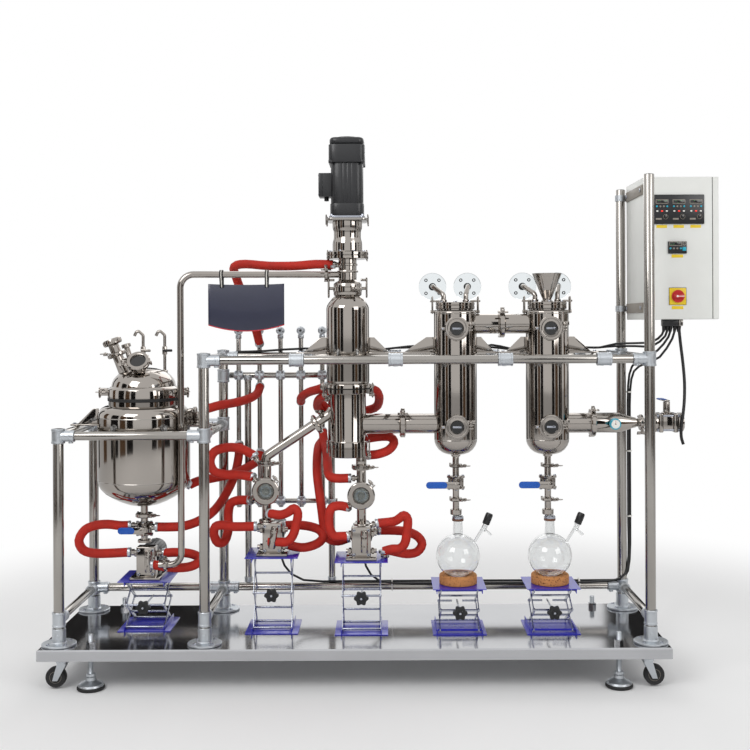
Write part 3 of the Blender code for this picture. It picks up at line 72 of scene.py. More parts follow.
JACK_ARM, JACK_SPREAD, JACK_PLATE = 0.16, 0.0725, 0.2
BOX_LEFT, BOX_RIGHT, BOX_FRONT = 0.9785, 1.257, -0.092
FLASKS_X = (0.271, 0.622)
VAPOUR_Z, BRIDGE_Z = 0.936, 1.316
HOSE_RADIUS, SPARE_RADIUS = 0.0175, 0.0058

# The camera: its place, its roll in degrees and its shift
CAMERA_AT, CAMERA_ROLL, CAMERA_SHIFT = (0, -4.2, 1.324), 0.25, (-0.0147, -0.0707)

# Edges sharper than the first are rounded, and those flatter than the second are shaded smooth
EDGE_ANGLE, SMOOTH_ANGLE = math.radians(35), math.radians(32)

RIGHT, FRONT, REAR, UP = (1, 0, 0), (0, -1, 0), (0, 1, 0), (0, 0, 1)
SIDES = (-1, 1)
CORNERS = [(a, b) for a in SIDES for b in SIDES]
CORNER_NAMES = [(end, side) for end in ("front", "rear") for side in ("left", "right")]

# The finishes that most pieces have
STEEL, ZINC, BRIGHT, PAINT = "mirror_steel", "zinc_fitting", "arm_steel", "motor_paint"


def shade(code):
    """A written colour such as 1c2f6b as linear red, green, blue and alpha."""
    parts = [int(code[i:i + 2], 16) / 255 for i in (0, 2, 4)]
    return (*[p / 12.92 if p <= 0.04045 else ((p + 0.055) / 1.055) ** 2.4 for p in parts], 1.0)


# Finishes

class Wire:
    """A shader socket that adds Math nodes when it is used in an expression."""

    def __init__(self, tree, socket):
        self.tree = tree
        self.socket = socket

    def _math(self, operation, first, second):
        node = self.tree.nodes.new("ShaderNodeMath")
        node.operation = operation
        for slot, value in zip(node.inputs, (first, second)):
            attach(self.tree, slot, value)
        return Wire(self.tree, node.outputs[0])

    def __add__(self, other):
        return self._math("ADD", self, other)

    def __radd__(self, other):
        return self._math("ADD", other, self)

    def __sub__(self, other):
        return self._math("SUBTRACT", self, other)

    def __rsub__(self, other):
        return self._math("SUBTRACT", other, self)

    def __mul__(self, other):
        return self._math("MULTIPLY", self, other)

    def __rmul__(self, other):
        return self._math("MULTIPLY", other, self)

    def __gt__(self, other):
        return self._math("GREATER_THAN", self, other)


def attach(tree, slot, value):
    if isinstance(value, Wire):
        tree.links.new(value.socket, slot)
    else:
        slot.default_value = value


class Finish:
    """One material, built node by node on its shader."""

    def __init__(self, name, **constants):
        self.material = bpy.data.materials.new(name)
        self.material.use_nodes = True
        self.tree = self.material.node_tree
        self.shader = self.tree.nodes["Principled BSDF"]
        for key, value in constants.items():
            self.shader.inputs[key.replace("_", " ")].default_value = value

    def node(self, kind, settings=None, output=0, **inputs):
        node = self.tree.nodes.new("ShaderNode" + kind)
        for key, value in (settings or {}).items():
            if key == "stops":
                ramp = node.color_ramp.elements
                while len(ramp) < len(value):
                    ramp.new(0.5)
                for element, (place, colour) in zip(ramp, value):
                    element.position, element.color = place, colour
            else:
                setattr(node, key, value)
        for key, value in inputs.items():
            attach(self.tree, node.inputs[key.replace("_", " ")], value)
        return Wire(self.tree, node.outputs[output])

    def place(self, scale=(1, 1, 1)):
        spot = self.node("TexCoord", output=3)
        return self.node("Mapping", Vector=spot, Scale=scale)

    def noise(self, scale, detail=3.0, stretch=(1, 1, 1), rough=0.5):
        return self.node("TexNoise", Vector=self.place(stretch), Scale=scale, Detail=detail,
                         Roughness=rough)

    def mix(self, factor, first, second):
        node = self.tree.nodes.new("ShaderNodeMix")
        node.data_type = "RGBA"
        slots = {slot.identifier: slot for slot in node.inputs}
        attach(self.tree, slots["Factor_Float"], factor)
        attach(self.tree, slots["A_Color"], first)
        attach(self.tree, slots["B_Color"], second)
        return Wire(self.tree, next(o for o in node.outputs if o.identifier == "Result_Color"))

    def set(self, **inputs):
        for key, value in inputs.items():
            attach(self.tree, self.shader.inputs[key.replace("_", " ")], value)
        return self

    def bump(self, height, strength, distance):
        normal = self.node("Bump", Height=height, Strength=strength, Distance=distance)
        return self.set(Normal=normal)


def tone(colour, factor):
    return (*[min(1.0, part * factor) for part in colour[:3]], 1.0)


def metal(name, colour, smooth, rough, grain=40.0, stretch=(1, 1, 1), relief=0.05, dark=0.82):
    """Bare metal: cloudy tone, roughness that wanders, and a fine grain."""
    made = Finish(name, Metallic=1.0)
    cloud = made.noise(6.0, 3.0)
    fine = made.noise(grain, 5.0, stretch)
    made.set(Base_Color=made.mix(cloud, tone(colour, dark), colour),
             Roughness=smooth + fine * (rough - smooth))
    return made.bump(fine, relief, 0.0006)


def coating(name, colour, rough, grain=300.0, relief=0.12, dark=0.85, lacquer=0.0):
    """Paint, moulded plastic or rubber: slight blotches, worn gloss and a fine texture."""
    made = Finish(name, Coat_Weight=lacquer)
    cloud = made.noise(9.0, 4.0)
    fine = made.noise(grain, 3.0)
    made.set(Base_Color=made.mix(cloud, tone(colour, dark), tone(colour, 1.08)),
             Roughness=(rough - 0.08) + cloud * 0.16)
    return made.bump(fine, relief, 0.0004)


def cork_finish(name):
    made = Finish(name, Roughness=0.85)
    grains = made.node("TexVoronoi", Vector=made.place(), Scale=240.0)
    cloud = made.noise(60.0, 5.0, rough=0.7)
    base = made.mix(cloud, shade("a8662f"), shade("dca066"))
    specks = made.node("ValToRGB", {"stops": [(0.56, (0, 0, 0, 1)), (0.68, (1, 1, 1, 1))]},
                       Fac=made.noise(170.0, 2.0))
    made.set(Base_Color=made.mix(specks, base, shade("6b3a1a")))
    return made.bump(grains * 0.6 + cloud, 0.5, 0.0012)


def foam_finish(name, colour):
    """Closed-cell sleeve round a hose, with dull scuffs and fine cells."""
    made = Finish(name, Specular_IOR_Level=0.35)
    scuff = made.noise(22.0, 5.0, rough=0.65)
    cells = made.node("TexVoronoi", Vector=made.place(), Scale=520.0)
    made.set(Base_Color=made.mix(scuff, tone(colour, 0.55), tone(colour, 1.25)),
             Roughness=0.52 + scuff * 0.25)
    return made.bump(cells + scuff * 0.8, 0.35, 0.001)


def clear_finish(name, tint, rough, ior):
    made = Finish(name, Transmission_Weight=1.0, IOR=ior)
    smear = made.noise(14.0, 4.0)
    made.set(Base_Color=made.mix(smear, tone(tint, 0.96), tint), Roughness=rough + smear * 0.02)
    return made


def lamp_finish(name, colour, level):
    made = Finish(name, Roughness=0.4, Emission_Strength=level)
    glow = made.noise(900.0, 1.0)
    made.set(Base_Color=made.mix(glow, tone(colour, 0.5), colour),
             Emission_Color=made.mix(glow, tone(colour, 0.7), colour))
    return made


def display_finish(name):
    """Dark display window with a faint row of lit segments."""
    made = Finish(name, Coat_Weight=0.4, Emission_Strength=0.7)
    rows = made.node("TexVoronoi", {"feature": "F1"}, Vector=made.place((1.0, 0.2, 0.6)), Scale=190.0)
    lit = made.node("ValToRGB", {"stops": [(0.1, (1, 1, 1, 1)), (0.24, (0, 0, 0, 1))]}, Fac=rows)
    made.set(Base_Color=made.mix(made.noise(30.0), shade("0b0c0e"), shade("17191c")), Roughness=0.22,
             Emission_Color=made.mix(lit, (0, 0, 0, 1), shade("39d95a")))
    return made


def chosen(key):
    """A colour from the settings, to be read when its material is made."""
    return lambda: tuple(getattr(bpy.context.scene.distillation, key))


MAKERS = {
    "mirror_steel": (metal, chosen("steel_colour"), 0.045, 0.11, 26.0, (1, 1, 1), 0.03, 0.9),
    "satin_tube": (metal, "a9a5a0", 0.1, 0.2, 120.0, (1, 1, 0.08), 0.04),
    "zinc_fitting": (metal, "ccd1d6", 0.3, 0.48, 160.0, (1, 1, 1), 0.16, 0.78),
    "deck_mirror": (metal, "c2c3c6", 0.08, 0.16, 9.0, (1, 1, 1), 0.02, 0.85),
    "arm_steel": (metal, "b4b8c2", 0.18, 0.34, 150.0, (1, 1, 1), 0.06),
    "motor_paint": (coating, "1b1c1f", 0.38, 260.0, 0.1, 0.85, 0.15),
    "pump_paint": (coating, "2b2d31", 0.42, 220.0, 0.14),
    "black_plastic": (coating, "131315", 0.36, 420.0, 0.1),
    "black_rubber": (coating, "1a1a1b", 0.62, 500.0, 0.2),
    "cable_jacket": (coating, "101012", 0.48, 700.0, 0.1),
    "jack_enamel": (coating, chosen("jack_colour"), 0.3, 120.0, 0.05, 0.85, 0.35),
    "lever_vinyl": (coating, chosen("lever_colour"), 0.38, 200.0, 0.08),
    "knob_black": (coating, "151618", 0.4, 350.0, 0.1),
    "joint_seal": (coating, "6b4634", 0.55, 300.0, 0.1),
    # Near-black gloss painted into sockets, bores, windows and gaps as the shade that falls inside them
    "dark_bore": (coating, "0c0d0f", 0.25, 90.0, 0.04, 0.85, 0.5),
    "board_navy": (coating, chosen("board_colour"), 0.32, 60.0, 0.04, 0.85, 0.25),
    "board_trim": (coating, "c01d2e", 0.4, 60.0, 0.04),
    "twine": (coating, "d9d6cf", 0.8, 900.0, 0.5),
    "box_powder": (coating, chosen("box_colour"), 0.48, 900.0, 0.22, 0.94),
    "strap_grey": (coating, "8c857c", 0.5, 200.0, 0.1),
    "label_yellow": (coating, "e8c81e", 0.42, 80.0, 0.04, 0.93),
    "panel_black": (coating, "1a1b1e", 0.34, 500.0, 0.12),
    "cyan_plastic": (coating, "17a9c4", 0.35, 200.0, 0.06),
    "switch_red": (coating, "c4161c", 0.34, 250.0, 0.06, 0.85, 0.3),
    "white_plastic": (coating, "eceae4", 0.42, 300.0, 0.06, 0.96),
    "gauge_face": (coating, "f2f1ec", 0.4, 200.0, 0.03, 0.97),
    "flask_glass": (clear_finish, "fcfdfd", 0.01, 1.47),
    "sight_glass": (clear_finish, "cfd6d6", 0.02, 1.45),
    "clear_acrylic": (clear_finish, "e9eef0", 0.03, 1.4),
    "hose_foam": (foam_finish, chosen("hose_colour")),
    "lamp_red": (lamp_finish, "ee3328", 1.0),
    "cork": (cork_finish,),
    "display": (display_finish,),
}
FINISHES = {}


def finish(name):
    """The material of that name, made on its first use."""
    if name not in FINISHES:
        maker, *values = MAKERS[name]
        if values:
            values[0] = shade(values[0]) if isinstance(values[0], str) else values[0]()
        FINISHES[name] = maker(name, *values).material
    return FINISHES[name]


# Shaping tools

def alone(*objects):
    """Select only these objects, with the first one active."""
    if bpy.context.mode != "OBJECT":
        bpy.ops.object.mode_set(mode="OBJECT")
    bpy.ops.object.select_all(action="DESELECT")
    for item in objects:
        item.select_set(True)
    bpy.context.view_layer.objects.active = objects[0]


def clear_choice():
    if bpy.context.mode != "OBJECT":
        bpy.ops.object.mode_set(mode="OBJECT")
    bpy.ops.object.select_all(action="DESELECT")


def coat(obj, name):
    obj.data.materials.clear()
    obj.data.materials.append(finish(name))
    return obj


def soften(obj, width, segments=2):
    """Round the sharp edges of the active piece."""
    if width > 0:
        bevel = obj.modifiers.new("edge", "BEVEL")
        bevel.width = width
        bevel.segments = segments
        bevel.limit_method = "ANGLE"
        bevel.angle_limit = EDGE_ANGLE
        alone(obj)
        bpy.ops.object.modifier_apply(modifier="edge")
    return obj


def put(obj, at=(0, 0, 0), along=UP, roll=0.0):
    """Move a piece modelled at the origin, its Z turned along a direction, and apply that."""
    direction = Vector(along).normalized()
    turn = direction.to_track_quat("Z", "Y") if abs(direction.z) < 0.9999 or direction.z < 0 else None
    obj.rotation_mode = "QUATERNION"
    if turn is not None:
        obj.rotation_quaternion = turn
    if roll:
        obj.rotation_quaternion = obj.rotation_quaternion @ Quaternion(UP, math.radians(roll))
    obj.location = at
    alone(obj)
    bpy.ops.object.transform_apply()
    return obj


def copy_of(obj):
    alone(obj)
    bpy.ops.object.duplicate(linked=False)
    return bpy.context.view_layer.objects.active


def rod(start, end, radius, name, edge=0.0008, sides=32, tip=None):
    """A round bar between two points with softened rims; tip is its radius at the far end."""
    start, end = Vector(start), Vector(end)
    clear_choice()
    if tip is None:
        bpy.ops.mesh.primitive_cylinder_add(vertices=sides, radius=radius, depth=(end - start).length)
    else:
        bpy.ops.mesh.primitive_cone_add(vertices=sides, radius1=radius, radius2=tip,
                                        depth=(end - start).length)
    made = bpy.context.active_object
    soften(made, min(edge, radius * 0.4))
    return coat(put(made, (start + end) / 2, end - start), name)


def hexagon(start, end, radius, name):
    return rod(start, end, radius, name, 0.001, 6)


def slab(low, high, name, edge, segments=2):
    """A rectangular block between two corners with rounded edges."""
    low, high = Vector(low), Vector(high)
    clear_choice()
    bpy.ops.mesh.primitive_cube_add(size=1, location=(low + high) / 2, scale=high - low)
    made = bpy.context.active_object
    bpy.ops.object.transform_apply()
    soften(made, min(edge, min(high - low) * 0.45), segments)
    return coat(made, name)


def turned(profile, name, at, along=UP, sides=56):
    """A profile of (radius, height) points, extruded point by point and spun round."""
    clear_choice()
    bpy.ops.mesh.primitive_plane_add(size=0.001)
    made = bpy.context.active_object
    bpy.ops.object.mode_set(mode="EDIT")
    bpy.ops.mesh.select_mode(type="VERT")
    bpy.ops.mesh.select_all(action="SELECT")
    bpy.ops.mesh.merge(type="CENTER")
    bpy.ops.transform.translate(value=(profile[0][0], 0, profile[0][1]))
    for (radius, height), (next_radius, next_height) in zip(profile, profile[1:]):
        step = (next_radius - radius, 0, next_height - height)
        bpy.ops.mesh.extrude_region_move(TRANSFORM_OT_translate={"value": step})
    bpy.ops.mesh.select_all(action="SELECT")
    bpy.ops.mesh.spin(steps=sides, angle=2 * math.pi, center=(0, 0, 0), axis=UP)
    bpy.ops.mesh.select_all(action="SELECT")
    bpy.ops.mesh.remove_doubles(threshold=0.00002)
    bpy.ops.mesh.normals_make_consistent(inside=False)
    bpy.ops.object.mode_set(mode="OBJECT")
    return coat(put(made, at, along), name)


def line_object(points, radius, closed=False, resolution=4):
    """A curve object that carries a round section along the points."""
    clear_choice()
    bpy.ops.curve.primitive_nurbs_path_add()
    made = bpy.context.active_object
    curve = made.data
    curve.splines.clear()
    spline = curve.splines.new("POLY")
    spline.points.add(len(points) - 1)
    for point, place in zip(spline.points, points):
        point.co = (*place, 1.0)
    spline.use_cyclic_u = closed
    curve.dimensions = "3D"
    curve.bevel_depth = radius
    curve.bevel_resolution = resolution
    curve.use_fill_caps = not closed
    made.location = (0, 0, 0)
    return made


def tube(points, radius, name, closed=False, resolution=4):
    made = line_object(points, radius, closed, resolution)
    alone(made)
    bpy.ops.object.convert(target="MESH")
    made = bpy.context.view_layer.objects.active
    bpy.ops.object.mode_set(mode="EDIT")
    bpy.ops.mesh.select_all(action="SELECT")
    bpy.ops.mesh.remove_doubles(threshold=0.00001)
    bpy.ops.mesh.normals_make_consistent(inside=False)
    bpy.ops.object.mode_set(mode="OBJECT")
    return coat(made, name)


def bends(corners, radius, steps):
    """Corner points joined by straight runs, with an arc of the bend radius at each corner."""
    corners = [Vector(c) for c in corners]
    points = [corners[0]]
    for before, corner, after in zip(corners, corners[1:], corners[2:]):
        into, out = (before - corner).normalized(), (after - corner).normalized()
        half = into.angle(out) / 2
        reach = min(radius / math.tan(half), (before - corner).length * 0.49,
                    (after - corner).length * 0.49)
        size = reach * math.tan(half)
        centre = corner + (into + out).normalized() * (size / math.sin(half))
        start, end = corner + into * reach - centre, corner + out * reach - centre
        turn = start.rotation_difference(end)
        for step in range(steps + 1):
            portion = start.copy()
            portion.rotate(Quaternion(turn.axis, turn.angle * step / steps))
            points.append(centre + portion)
    points.append(corners[-1])
    return points


def flowing(anchors, between):
    """A smooth curve through the anchors, as evenly sampled points."""
    places = [Vector(a) for a in anchors]
    places = [places[0] * 2 - places[1]] + places + [places[-1] * 2 - places[-2]]
    points = []
    for p0, p1, p2, p3 in zip(places, places[1:], places[2:], places[3:]):
        for step in range(between):
            t = step / between
            points.append(0.5 * ((2 * p1) + (p2 - p0) * t + (2 * p0 - 5 * p1 + 4 * p2 - p3) * t * t
                                 + (3 * p1 - p0 - 3 * p2 + p3) * t ** 3))
    points.append(places[-2])
    return points


def joined(name, parts, body="frame", replaced=()):
    """Make one finished piece of the parts, shade it, and tie it to its body and nodes."""
    alone(*parts)
    if len(parts) > 1:
        bpy.ops.object.join()
    made = bpy.context.view_layer.objects.active
    bpy.ops.object.transform_apply()
    bpy.ops.object.shade_smooth_by_angle(angle=SMOOTH_ANGLE)
    made.name = made.data.name = name
    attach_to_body(made, body)
    if replaced:
        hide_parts(*replaced)
    return made


def wing_nut(at, along, size):
    """A nut with two rounded wings, its thread along the given direction."""
    hub = rod((0, 0, 0), (0, 0, 0.01 * size), 0.007 * size, STEEL, sides=20)
    wings = [slab((0.004 * size, -0.0018 * size, 0.002 * size), (0.021 * size, 0.0018 * size, 0.018 * size),
                  STEEL, 0.0017 * size, 3)]
    wings.append(put(copy_of(wings[0]), roll=180))
    bolt = rod((0, 0, -0.012 * size), (0, 0, 0.016 * size), 0.0032 * size, STEEL, sides=12)
    parts = [hub, bolt] + wings
    return [put(item, at, along) for item in parts]


def pipe_clamp(at, along, radius, wing, width=0.016):
    """A two-part clamp round a pipe joint, with its hinge and its bolt with a wing nut."""
    low, high = -width / 2, width / 2
    band = turned([(radius - 0.012, low), (radius - 0.003, low), (radius, low + 0.003),
                   (radius, high - 0.003), (radius - 0.003, high), (radius - 0.012, high)], STEEL, at,
                  along, 40)
    out = Vector(wing).normalized()
    side = Vector(along).normalized().cross(out).normalized()
    spot = Vector(at) + out * (radius + 0.006)
    ears = [slab_along(spot + side * s * 0.006, out, side, (0.016, 0.005, width * 0.8), STEEL)
            for s in SIDES]
    hinge = Vector(at) - out * (radius + 0.003)
    pin = rod(hinge - Vector(along).normalized() * width * 0.6,
              hinge + Vector(along).normalized() * width * 0.6, 0.004, STEEL, sides=14)
    return [band, pin] + ears + wing_nut(spot + side * 0.009 + out * 0.002, side, 0.95)


def slab_along(at, out, side, size, name):
    """A small block centred on a point: its first size along out, its second along side."""
    made = slab((-size[0] / 2, -size[1] / 2, -size[2] / 2), (size[0] / 2, size[1] / 2, size[2] / 2),
                name, 0.0012)
    out, side = Vector(out).normalized(), Vector(side).normalized()
    made.rotation_mode = "XYZ"
    made.rotation_euler = Matrix((out, side, out.cross(side))).transposed().to_euler()
    made.location = at
    alone(made)
    bpy.ops.object.transform_apply()
    return made


def oval_hook(at, height, width, wire, along):
    """A closed swing hook: an upright oval wire loop that lies across the given direction."""
    half, reach = width / 2, height / 2 - width / 2
    loop = []
    for centre, start in ((reach, 0), (-reach, 180)):
        for step in range(9):
            angle = math.radians(start + 22.5 * step)
            loop.append(Vector((half * math.cos(angle), 0, centre + half * math.sin(angle))))
    turn = Vector(RIGHT).rotation_difference(Vector(along))
    for place in loop:
        place.rotate(turn)
    return tube([Vector(at) + place for place in loop], wire, STEEL, True, 3)


# Stage

def set_stage():
    """Pale floor, white surround, soft lamps, dark cards for the steel to mirror, and the camera."""
    clear_choice()
    scene = bpy.context.scene
    settings = scene.distillation
    scene.view_settings.view_transform = "Standard"

    bpy.ops.object.camera_add(location=CAMERA_AT, rotation=(math.pi / 2, math.radians(CAMERA_ROLL), 0))
    camera = bpy.context.active_object
    camera.data.lens = settings.lens
    camera.data.sensor_width = 36.0
    camera.data.shift_x, camera.data.shift_y = CAMERA_SHIFT
    scene.camera = camera

    world = bpy.data.worlds.new("studio")
    scene.world = world
    world.use_nodes = True
    tree = world.node_tree
    background = tree.nodes["Background"]
    path = tree.nodes.new("ShaderNodeLightPath")
    seen = Wire(tree, path.outputs["Is Camera Ray"]) + Wire(tree, path.outputs["Is Glossy Ray"])
    seen = seen + Wire(tree, path.outputs["Is Transmission Ray"])
    background.inputs["Color"].default_value = (1, 1, 1, 1)
    lit = (seen > 0.5) * (1 - settings.sky_level) + settings.sky_level
    attach(tree, background.inputs["Strength"], lit)

    clear_choice()
    bpy.ops.mesh.primitive_plane_add(size=60, location=(0, 0, 0))
    floor = bpy.context.active_object
    floor.name = "studio_floor"
    made = Finish("floor_pale", Roughness=0.9, Specular_IOR_Level=0.1)
    cloud = made.noise(0.8, 2.0)
    made.set(Base_Color=made.mix(cloud, (0.93, 0.93, 0.93, 1), (0.96, 0.96, 0.96, 1)))
    glow = made.node("Emission", Color=(1, 1, 1, 1), Strength=1.0)
    far = made.node("VectorMath", {"operation": "LENGTH"}, output=1, Vector=made.node("TexCoord", output=3))
    far = made.node("MapRange", {"interpolation_type": "SMOOTHSTEP"}, Value=far,
                    **{"From_Min": 1.7, "From_Max": 3.2})
    path = made.node("LightPath")
    blend = made.tree.nodes.new("ShaderNodeMixShader")
    attach(made.tree, blend.inputs[0], far * path)
    made.tree.links.new(made.shader.outputs[0], blend.inputs[1])
    made.tree.links.new(glow.socket, blend.inputs[2])
    made.tree.links.new(blend.outputs[0], made.tree.nodes["Material Output"].inputs[0])
    floor.data.materials.append(made.material)

    for place, aim, size, power in (((-2.6, -3.6, 3.9), (0, 0, 0.8), 2.4, settings.key_power),
                                    ((3.2, -3.0, 2.6), (0.2, 0, 0.8), 2.0, settings.key_power * 0.45),
                                    ((0.2, 2.8, 3.4), (0, 0, 0.9), 2.6, settings.key_power * 0.35)):
        clear_choice()
        bpy.ops.object.light_add(type="AREA", location=place)
        lamp = bpy.context.active_object
        lamp.data.size = size
        lamp.data.energy = power
        lamp.rotation_euler = (Vector(aim) - Vector(place)).to_track_quat("-Z", "Y").to_euler()

    card = Finish("card_dark", Roughness=0.9, Specular_IOR_Level=0.0)
    card.set(Base_Color=card.mix(card.noise(0.6), (0.012, 0.012, 0.014, 1), (0.035, 0.032, 0.03, 1)))
    warm = Finish("card_warm", Roughness=0.9, Specular_IOR_Level=0.0)
    warm.set(Base_Color=warm.mix(warm.noise(0.6), (0.1, 0.055, 0.03, 1), (0.24, 0.15, 0.09, 1)))
    for number, (angle, width, made) in enumerate(((-31, 1.3, card), (-48, 1.2, warm), (-68, 1.7, card),
                                                   (-95, 1.0, warm), (-124, 0.7, card),
                                                   (-156, 1.5, card), (29, 1.2, card), (46, 1.3, warm),
                                                   (67, 1.7, card), (94, 0.9, warm), (122, 0.6, card),
                                                   (152, 1.4, card))):
        turn = math.radians(angle)
        spot = (5.2 * math.sin(turn), -5.2 * math.cos(turn), 1.6)
        clear_choice()
        bpy.ops.mesh.primitive_plane_add(size=1, location=spot, rotation=(math.pi / 2, 0, turn),
                                         scale=(1, 1, 1))
        flag = bpy.context.active_object
        flag.scale = (width, 3.1, 1)
        bpy.ops.object.transform_apply()
        flag.name = f"studio_card_{number}"
        flag.data.materials.append(made.material)
        flag.visible_camera = False
        flag.visible_diffuse = False
        flag.visible_shadow = False
        flag.visible_transmission = False


# Deck, feet, casters and frame

def dress(node, name):
    """Give a CAD node that stays in view its finish."""
    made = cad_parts[node]
    made.data.materials.clear()
    made.data.materials.append(finish(name))


def finish_deck():
    """The mirror deck, and smooth levelling feet and casters under it."""
    dress("base_deck", "deck_mirror")
    for end, side in CORNER_NAMES:
        low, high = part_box(f"levelling_foot_{end}_{side}")
        x, y = (low.x + high.x) / 2, (low.y + high.y) / 2
        sole = turned([(0, 0.0005), (0.046, 0.0005), (0.05, 0.004), (0.05, 0.01), (0.047, 0.014),
                       (0, 0.014)], "black_rubber", (x, y, 0))
        cup = turned([(0, 0.014), (0.046, 0.014), (0.043, 0.021), (0.024, 0.03), (0.018, 0.034),
                      (0.017, 0.045), (0, 0.045)], ZINC, (x, y, 0))
        thread = [(0, 0.045)]
        for ring in range(38):
            thread += [(0.0086, 0.046 + ring * 0.004), (0.0098, 0.048 + ring * 0.004)]
        thread += [(0.0086, 0.1995), (0, 0.1995)]
        stud = turned(thread, ZINC, (x, y, 0), sides=20)
        nut = hexagon((x, y, 0.046), (x, y, 0.057), 0.017, ZINC)
        name = f"levelling_foot_{end}_{side}"
        joined(f"foot_{end}_{side}_piece", [sole, cup, stud, nut], f"foot_{end}_{side}", [name])
    for end, side in CORNER_NAMES:
        dress(f"caster_fork_{end}_{side}", ZINC)
        low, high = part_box(f"caster_wheel_{end}_{side}")
        centre = (low + high) / 2
        tread = turned([(0.0062, -0.015), (0.014, -0.015), (0.022, -0.012), (0.031, -0.0125),
                        (0.035, -0.014), (0.0373, -0.008), (0.0375, 0), (0.0373, 0.008), (0.035, 0.014),
                        (0.031, 0.0125), (0.022, 0.012), (0.014, 0.015), (0.0062, 0.015),
                        (0.0062, -0.015)], "black_rubber", centre, REAR, 48)
        hub = turned([(0.0062, -0.0152), (0.0215, -0.0124), (0.0215, 0.0124), (0.0062, 0.0152),
                      (0.0062, -0.0152)], "strap_grey", centre, REAR, 40)
        joined(f"caster_wheel_piece_{end}_{side}", [tread, hub], f"wheel_{end}_{side}",
               [f"caster_wheel_{end}_{side}"])


def clamp_tee(at, ways, along=UP):
    """A cast clamp fitting: collars on the tube and on each bar, with a set screw in each."""
    at = Vector(at)
    run = Vector(along)
    collar = [(0.0175, -0.0265), (0.0235, -0.0265), (0.0245, -0.025), (0.0245, -0.02), (0.0232, -0.0185),
              (0.0232, 0.0185), (0.0245, 0.02), (0.0245, 0.025), (0.0235, 0.0265), (0.0175, 0.0265)]
    parts = [turned(collar, ZINC, at, run, 36)]
    for way in ways:
        way = Vector(way)
        sleeve = [(0.0205, 0.006), (0.0205, 0.044), (0.0215, 0.0455), (0.0215, 0.0585), (0.0205, 0.06),
                  (0.0155, 0.06)]
        parts.append(turned(sleeve, ZINC, at, way, 36))
        drop = Vector((0, 0, -1)) if abs(way.z) < 0.5 else Vector(FRONT)
        spot = at + way * 0.046
        parts.append(rod(spot + drop * 0.018, spot + drop * 0.0262, 0.0085, ZINC, 0.001, 16))
        # Painted shade: a near-black hexagon in the screw head stands for the shade inside its socket
        parts.append(rod(spot + drop * 0.0255, spot + drop * 0.0266, 0.0042, "dark_bore", 0.0002, 6))
    return parts


def socket(x, y):
    """Round base flange with its socket collar and four cap screws."""
    parts = [turned([(0.0185, 0.1556), (0.0605, 0.1556), (0.062, 0.1572), (0.062, 0.1618), (0.06, 0.1634),
                     (0.029, 0.165), (0.025, 0.169), (0.0245, 0.209), (0.0245, 0.2145), (0.0232, 0.216),
                     (0.0185, 0.216)], ZINC, (x, y, 0), UP, 48)]
    for number in range(4):
        angle = math.radians(45 + 90 * number)
        spot = (x + 0.045 * math.cos(angle), y + 0.045 * math.sin(angle))
        parts.append(rod((*spot, 0.1625), (*spot, 0.1672), 0.0065, BRIGHT, 0.0012, 18))
    parts.append(rod((x, y - 0.022, 0.19), (x, y - 0.0268, 0.19), 0.0075, ZINC, 0.001, 16))
    return parts


def plug(x, y, top):
    """Dark domed plug in the open end of a post."""
    return [turned([(0, 0.0008), (0.011, 0.0004), (0.0175, -0.0012), (0.0186, -0.004), (0, -0.004)],
                   "black_plastic", (x, y, top), UP, 32)]


def post(x, y, top):
    return [rod((x, y, 0.158), (x, y, top - 0.003), 0.019, "satin_tube", 0.001,
                40)] + plug(x, y, top - 0.001)


def bar(start, end):
    return [rod(start, end, 0.016, "satin_tube", 0.001, 36)]


def finish_frame():
    """Posts, bars and rails with their clamp fittings, sockets and plugs."""
    front, rear = -FRAME_Y, FRAME_Y
    inward = {front: REAR, rear: FRONT}
    right, left = RIGHT, (-1, 0, 0)
    x_left, x_middle, x_right = POSTS
    reach = 0.0604

    parts = []
    for y in (front, rear):
        parts += post(x_left, y, 0.9425) + socket(x_left, y)
        parts += clamp_tee((x_left, y, LOW_BAR), [inward[y]] + ([right] if y == rear else []))
        parts += clamp_tee((x_left, y, MID_BAR), [inward[y], right])
        parts += bar((x_left, y, MID_BAR), (x_middle - reach, y, MID_BAR))
    parts += bar((x_left, rear, LOW_BAR), (x_middle - reach, rear, LOW_BAR))
    for z in (LOW_BAR, MID_BAR):
        parts += bar((x_left, front, z), (x_left, rear, z))
    joined("left_bay_piece", parts, "frame", ["left_bay_frame"])

    parts = []
    for y in (front, rear):
        parts += post(x_middle, y, 1.215) + socket(x_middle, y)
        parts += clamp_tee((x_middle, y, LOW_BAR), [inward[y]] + ([left, right] if y == rear else []))
        parts += clamp_tee((x_middle, y, MID_BAR), [inward[y], left])
        parts += clamp_tee((x_middle, y, HIGH_BAR), [inward[y], right])
    parts += clamp_tee((x_middle, rear, 1.108), [REAR])
    for z in (LOW_BAR, MID_BAR, HIGH_BAR):
        parts += bar((x_middle, front, z), (x_middle, rear, z))
    joined("middle_frame_piece", parts, "frame", ["middle_frame"])

    parts = []
    for y in (front, rear):
        parts += post(x_right, y, 1.86) + socket(x_right, y)
        parts += clamp_tee((x_right, y, LOW_BAR), [inward[y]] + ([left] if y == rear else []))
        parts += clamp_tee((x_right, y, HIGH_BAR), [inward[y], left])
    for z in (LOW_BAR, HIGH_BAR):
        parts += bar((x_right, front, z), (x_right, rear, z))
    joined("right_end_piece", parts, "frame", ["right_end_frame"])

    for name, y in (("upper_front_rail", front), ("upper_rear_rail", rear)):
        parts = bar((x_middle + reach, y, HIGH_BAR), (x_right - reach, y, HIGH_BAR))
        for x in HANGERS:
            parts += clamp_tee((x, y, HIGH_BAR), [inward[y]], RIGHT)
            if y == rear:
                parts += bar((x, rear, HIGH_BAR), (x, front + reach, HIGH_BAR))
        joined(f"{name}_piece", parts, "frame", [name])
    joined("rear_bottom_rail_piece", bar((x_middle + reach, rear, LOW_BAR),
                                         (x_right - reach, rear, LOW_BAR)), "frame",
           ["rear_bottom_rail"])


# Reactor

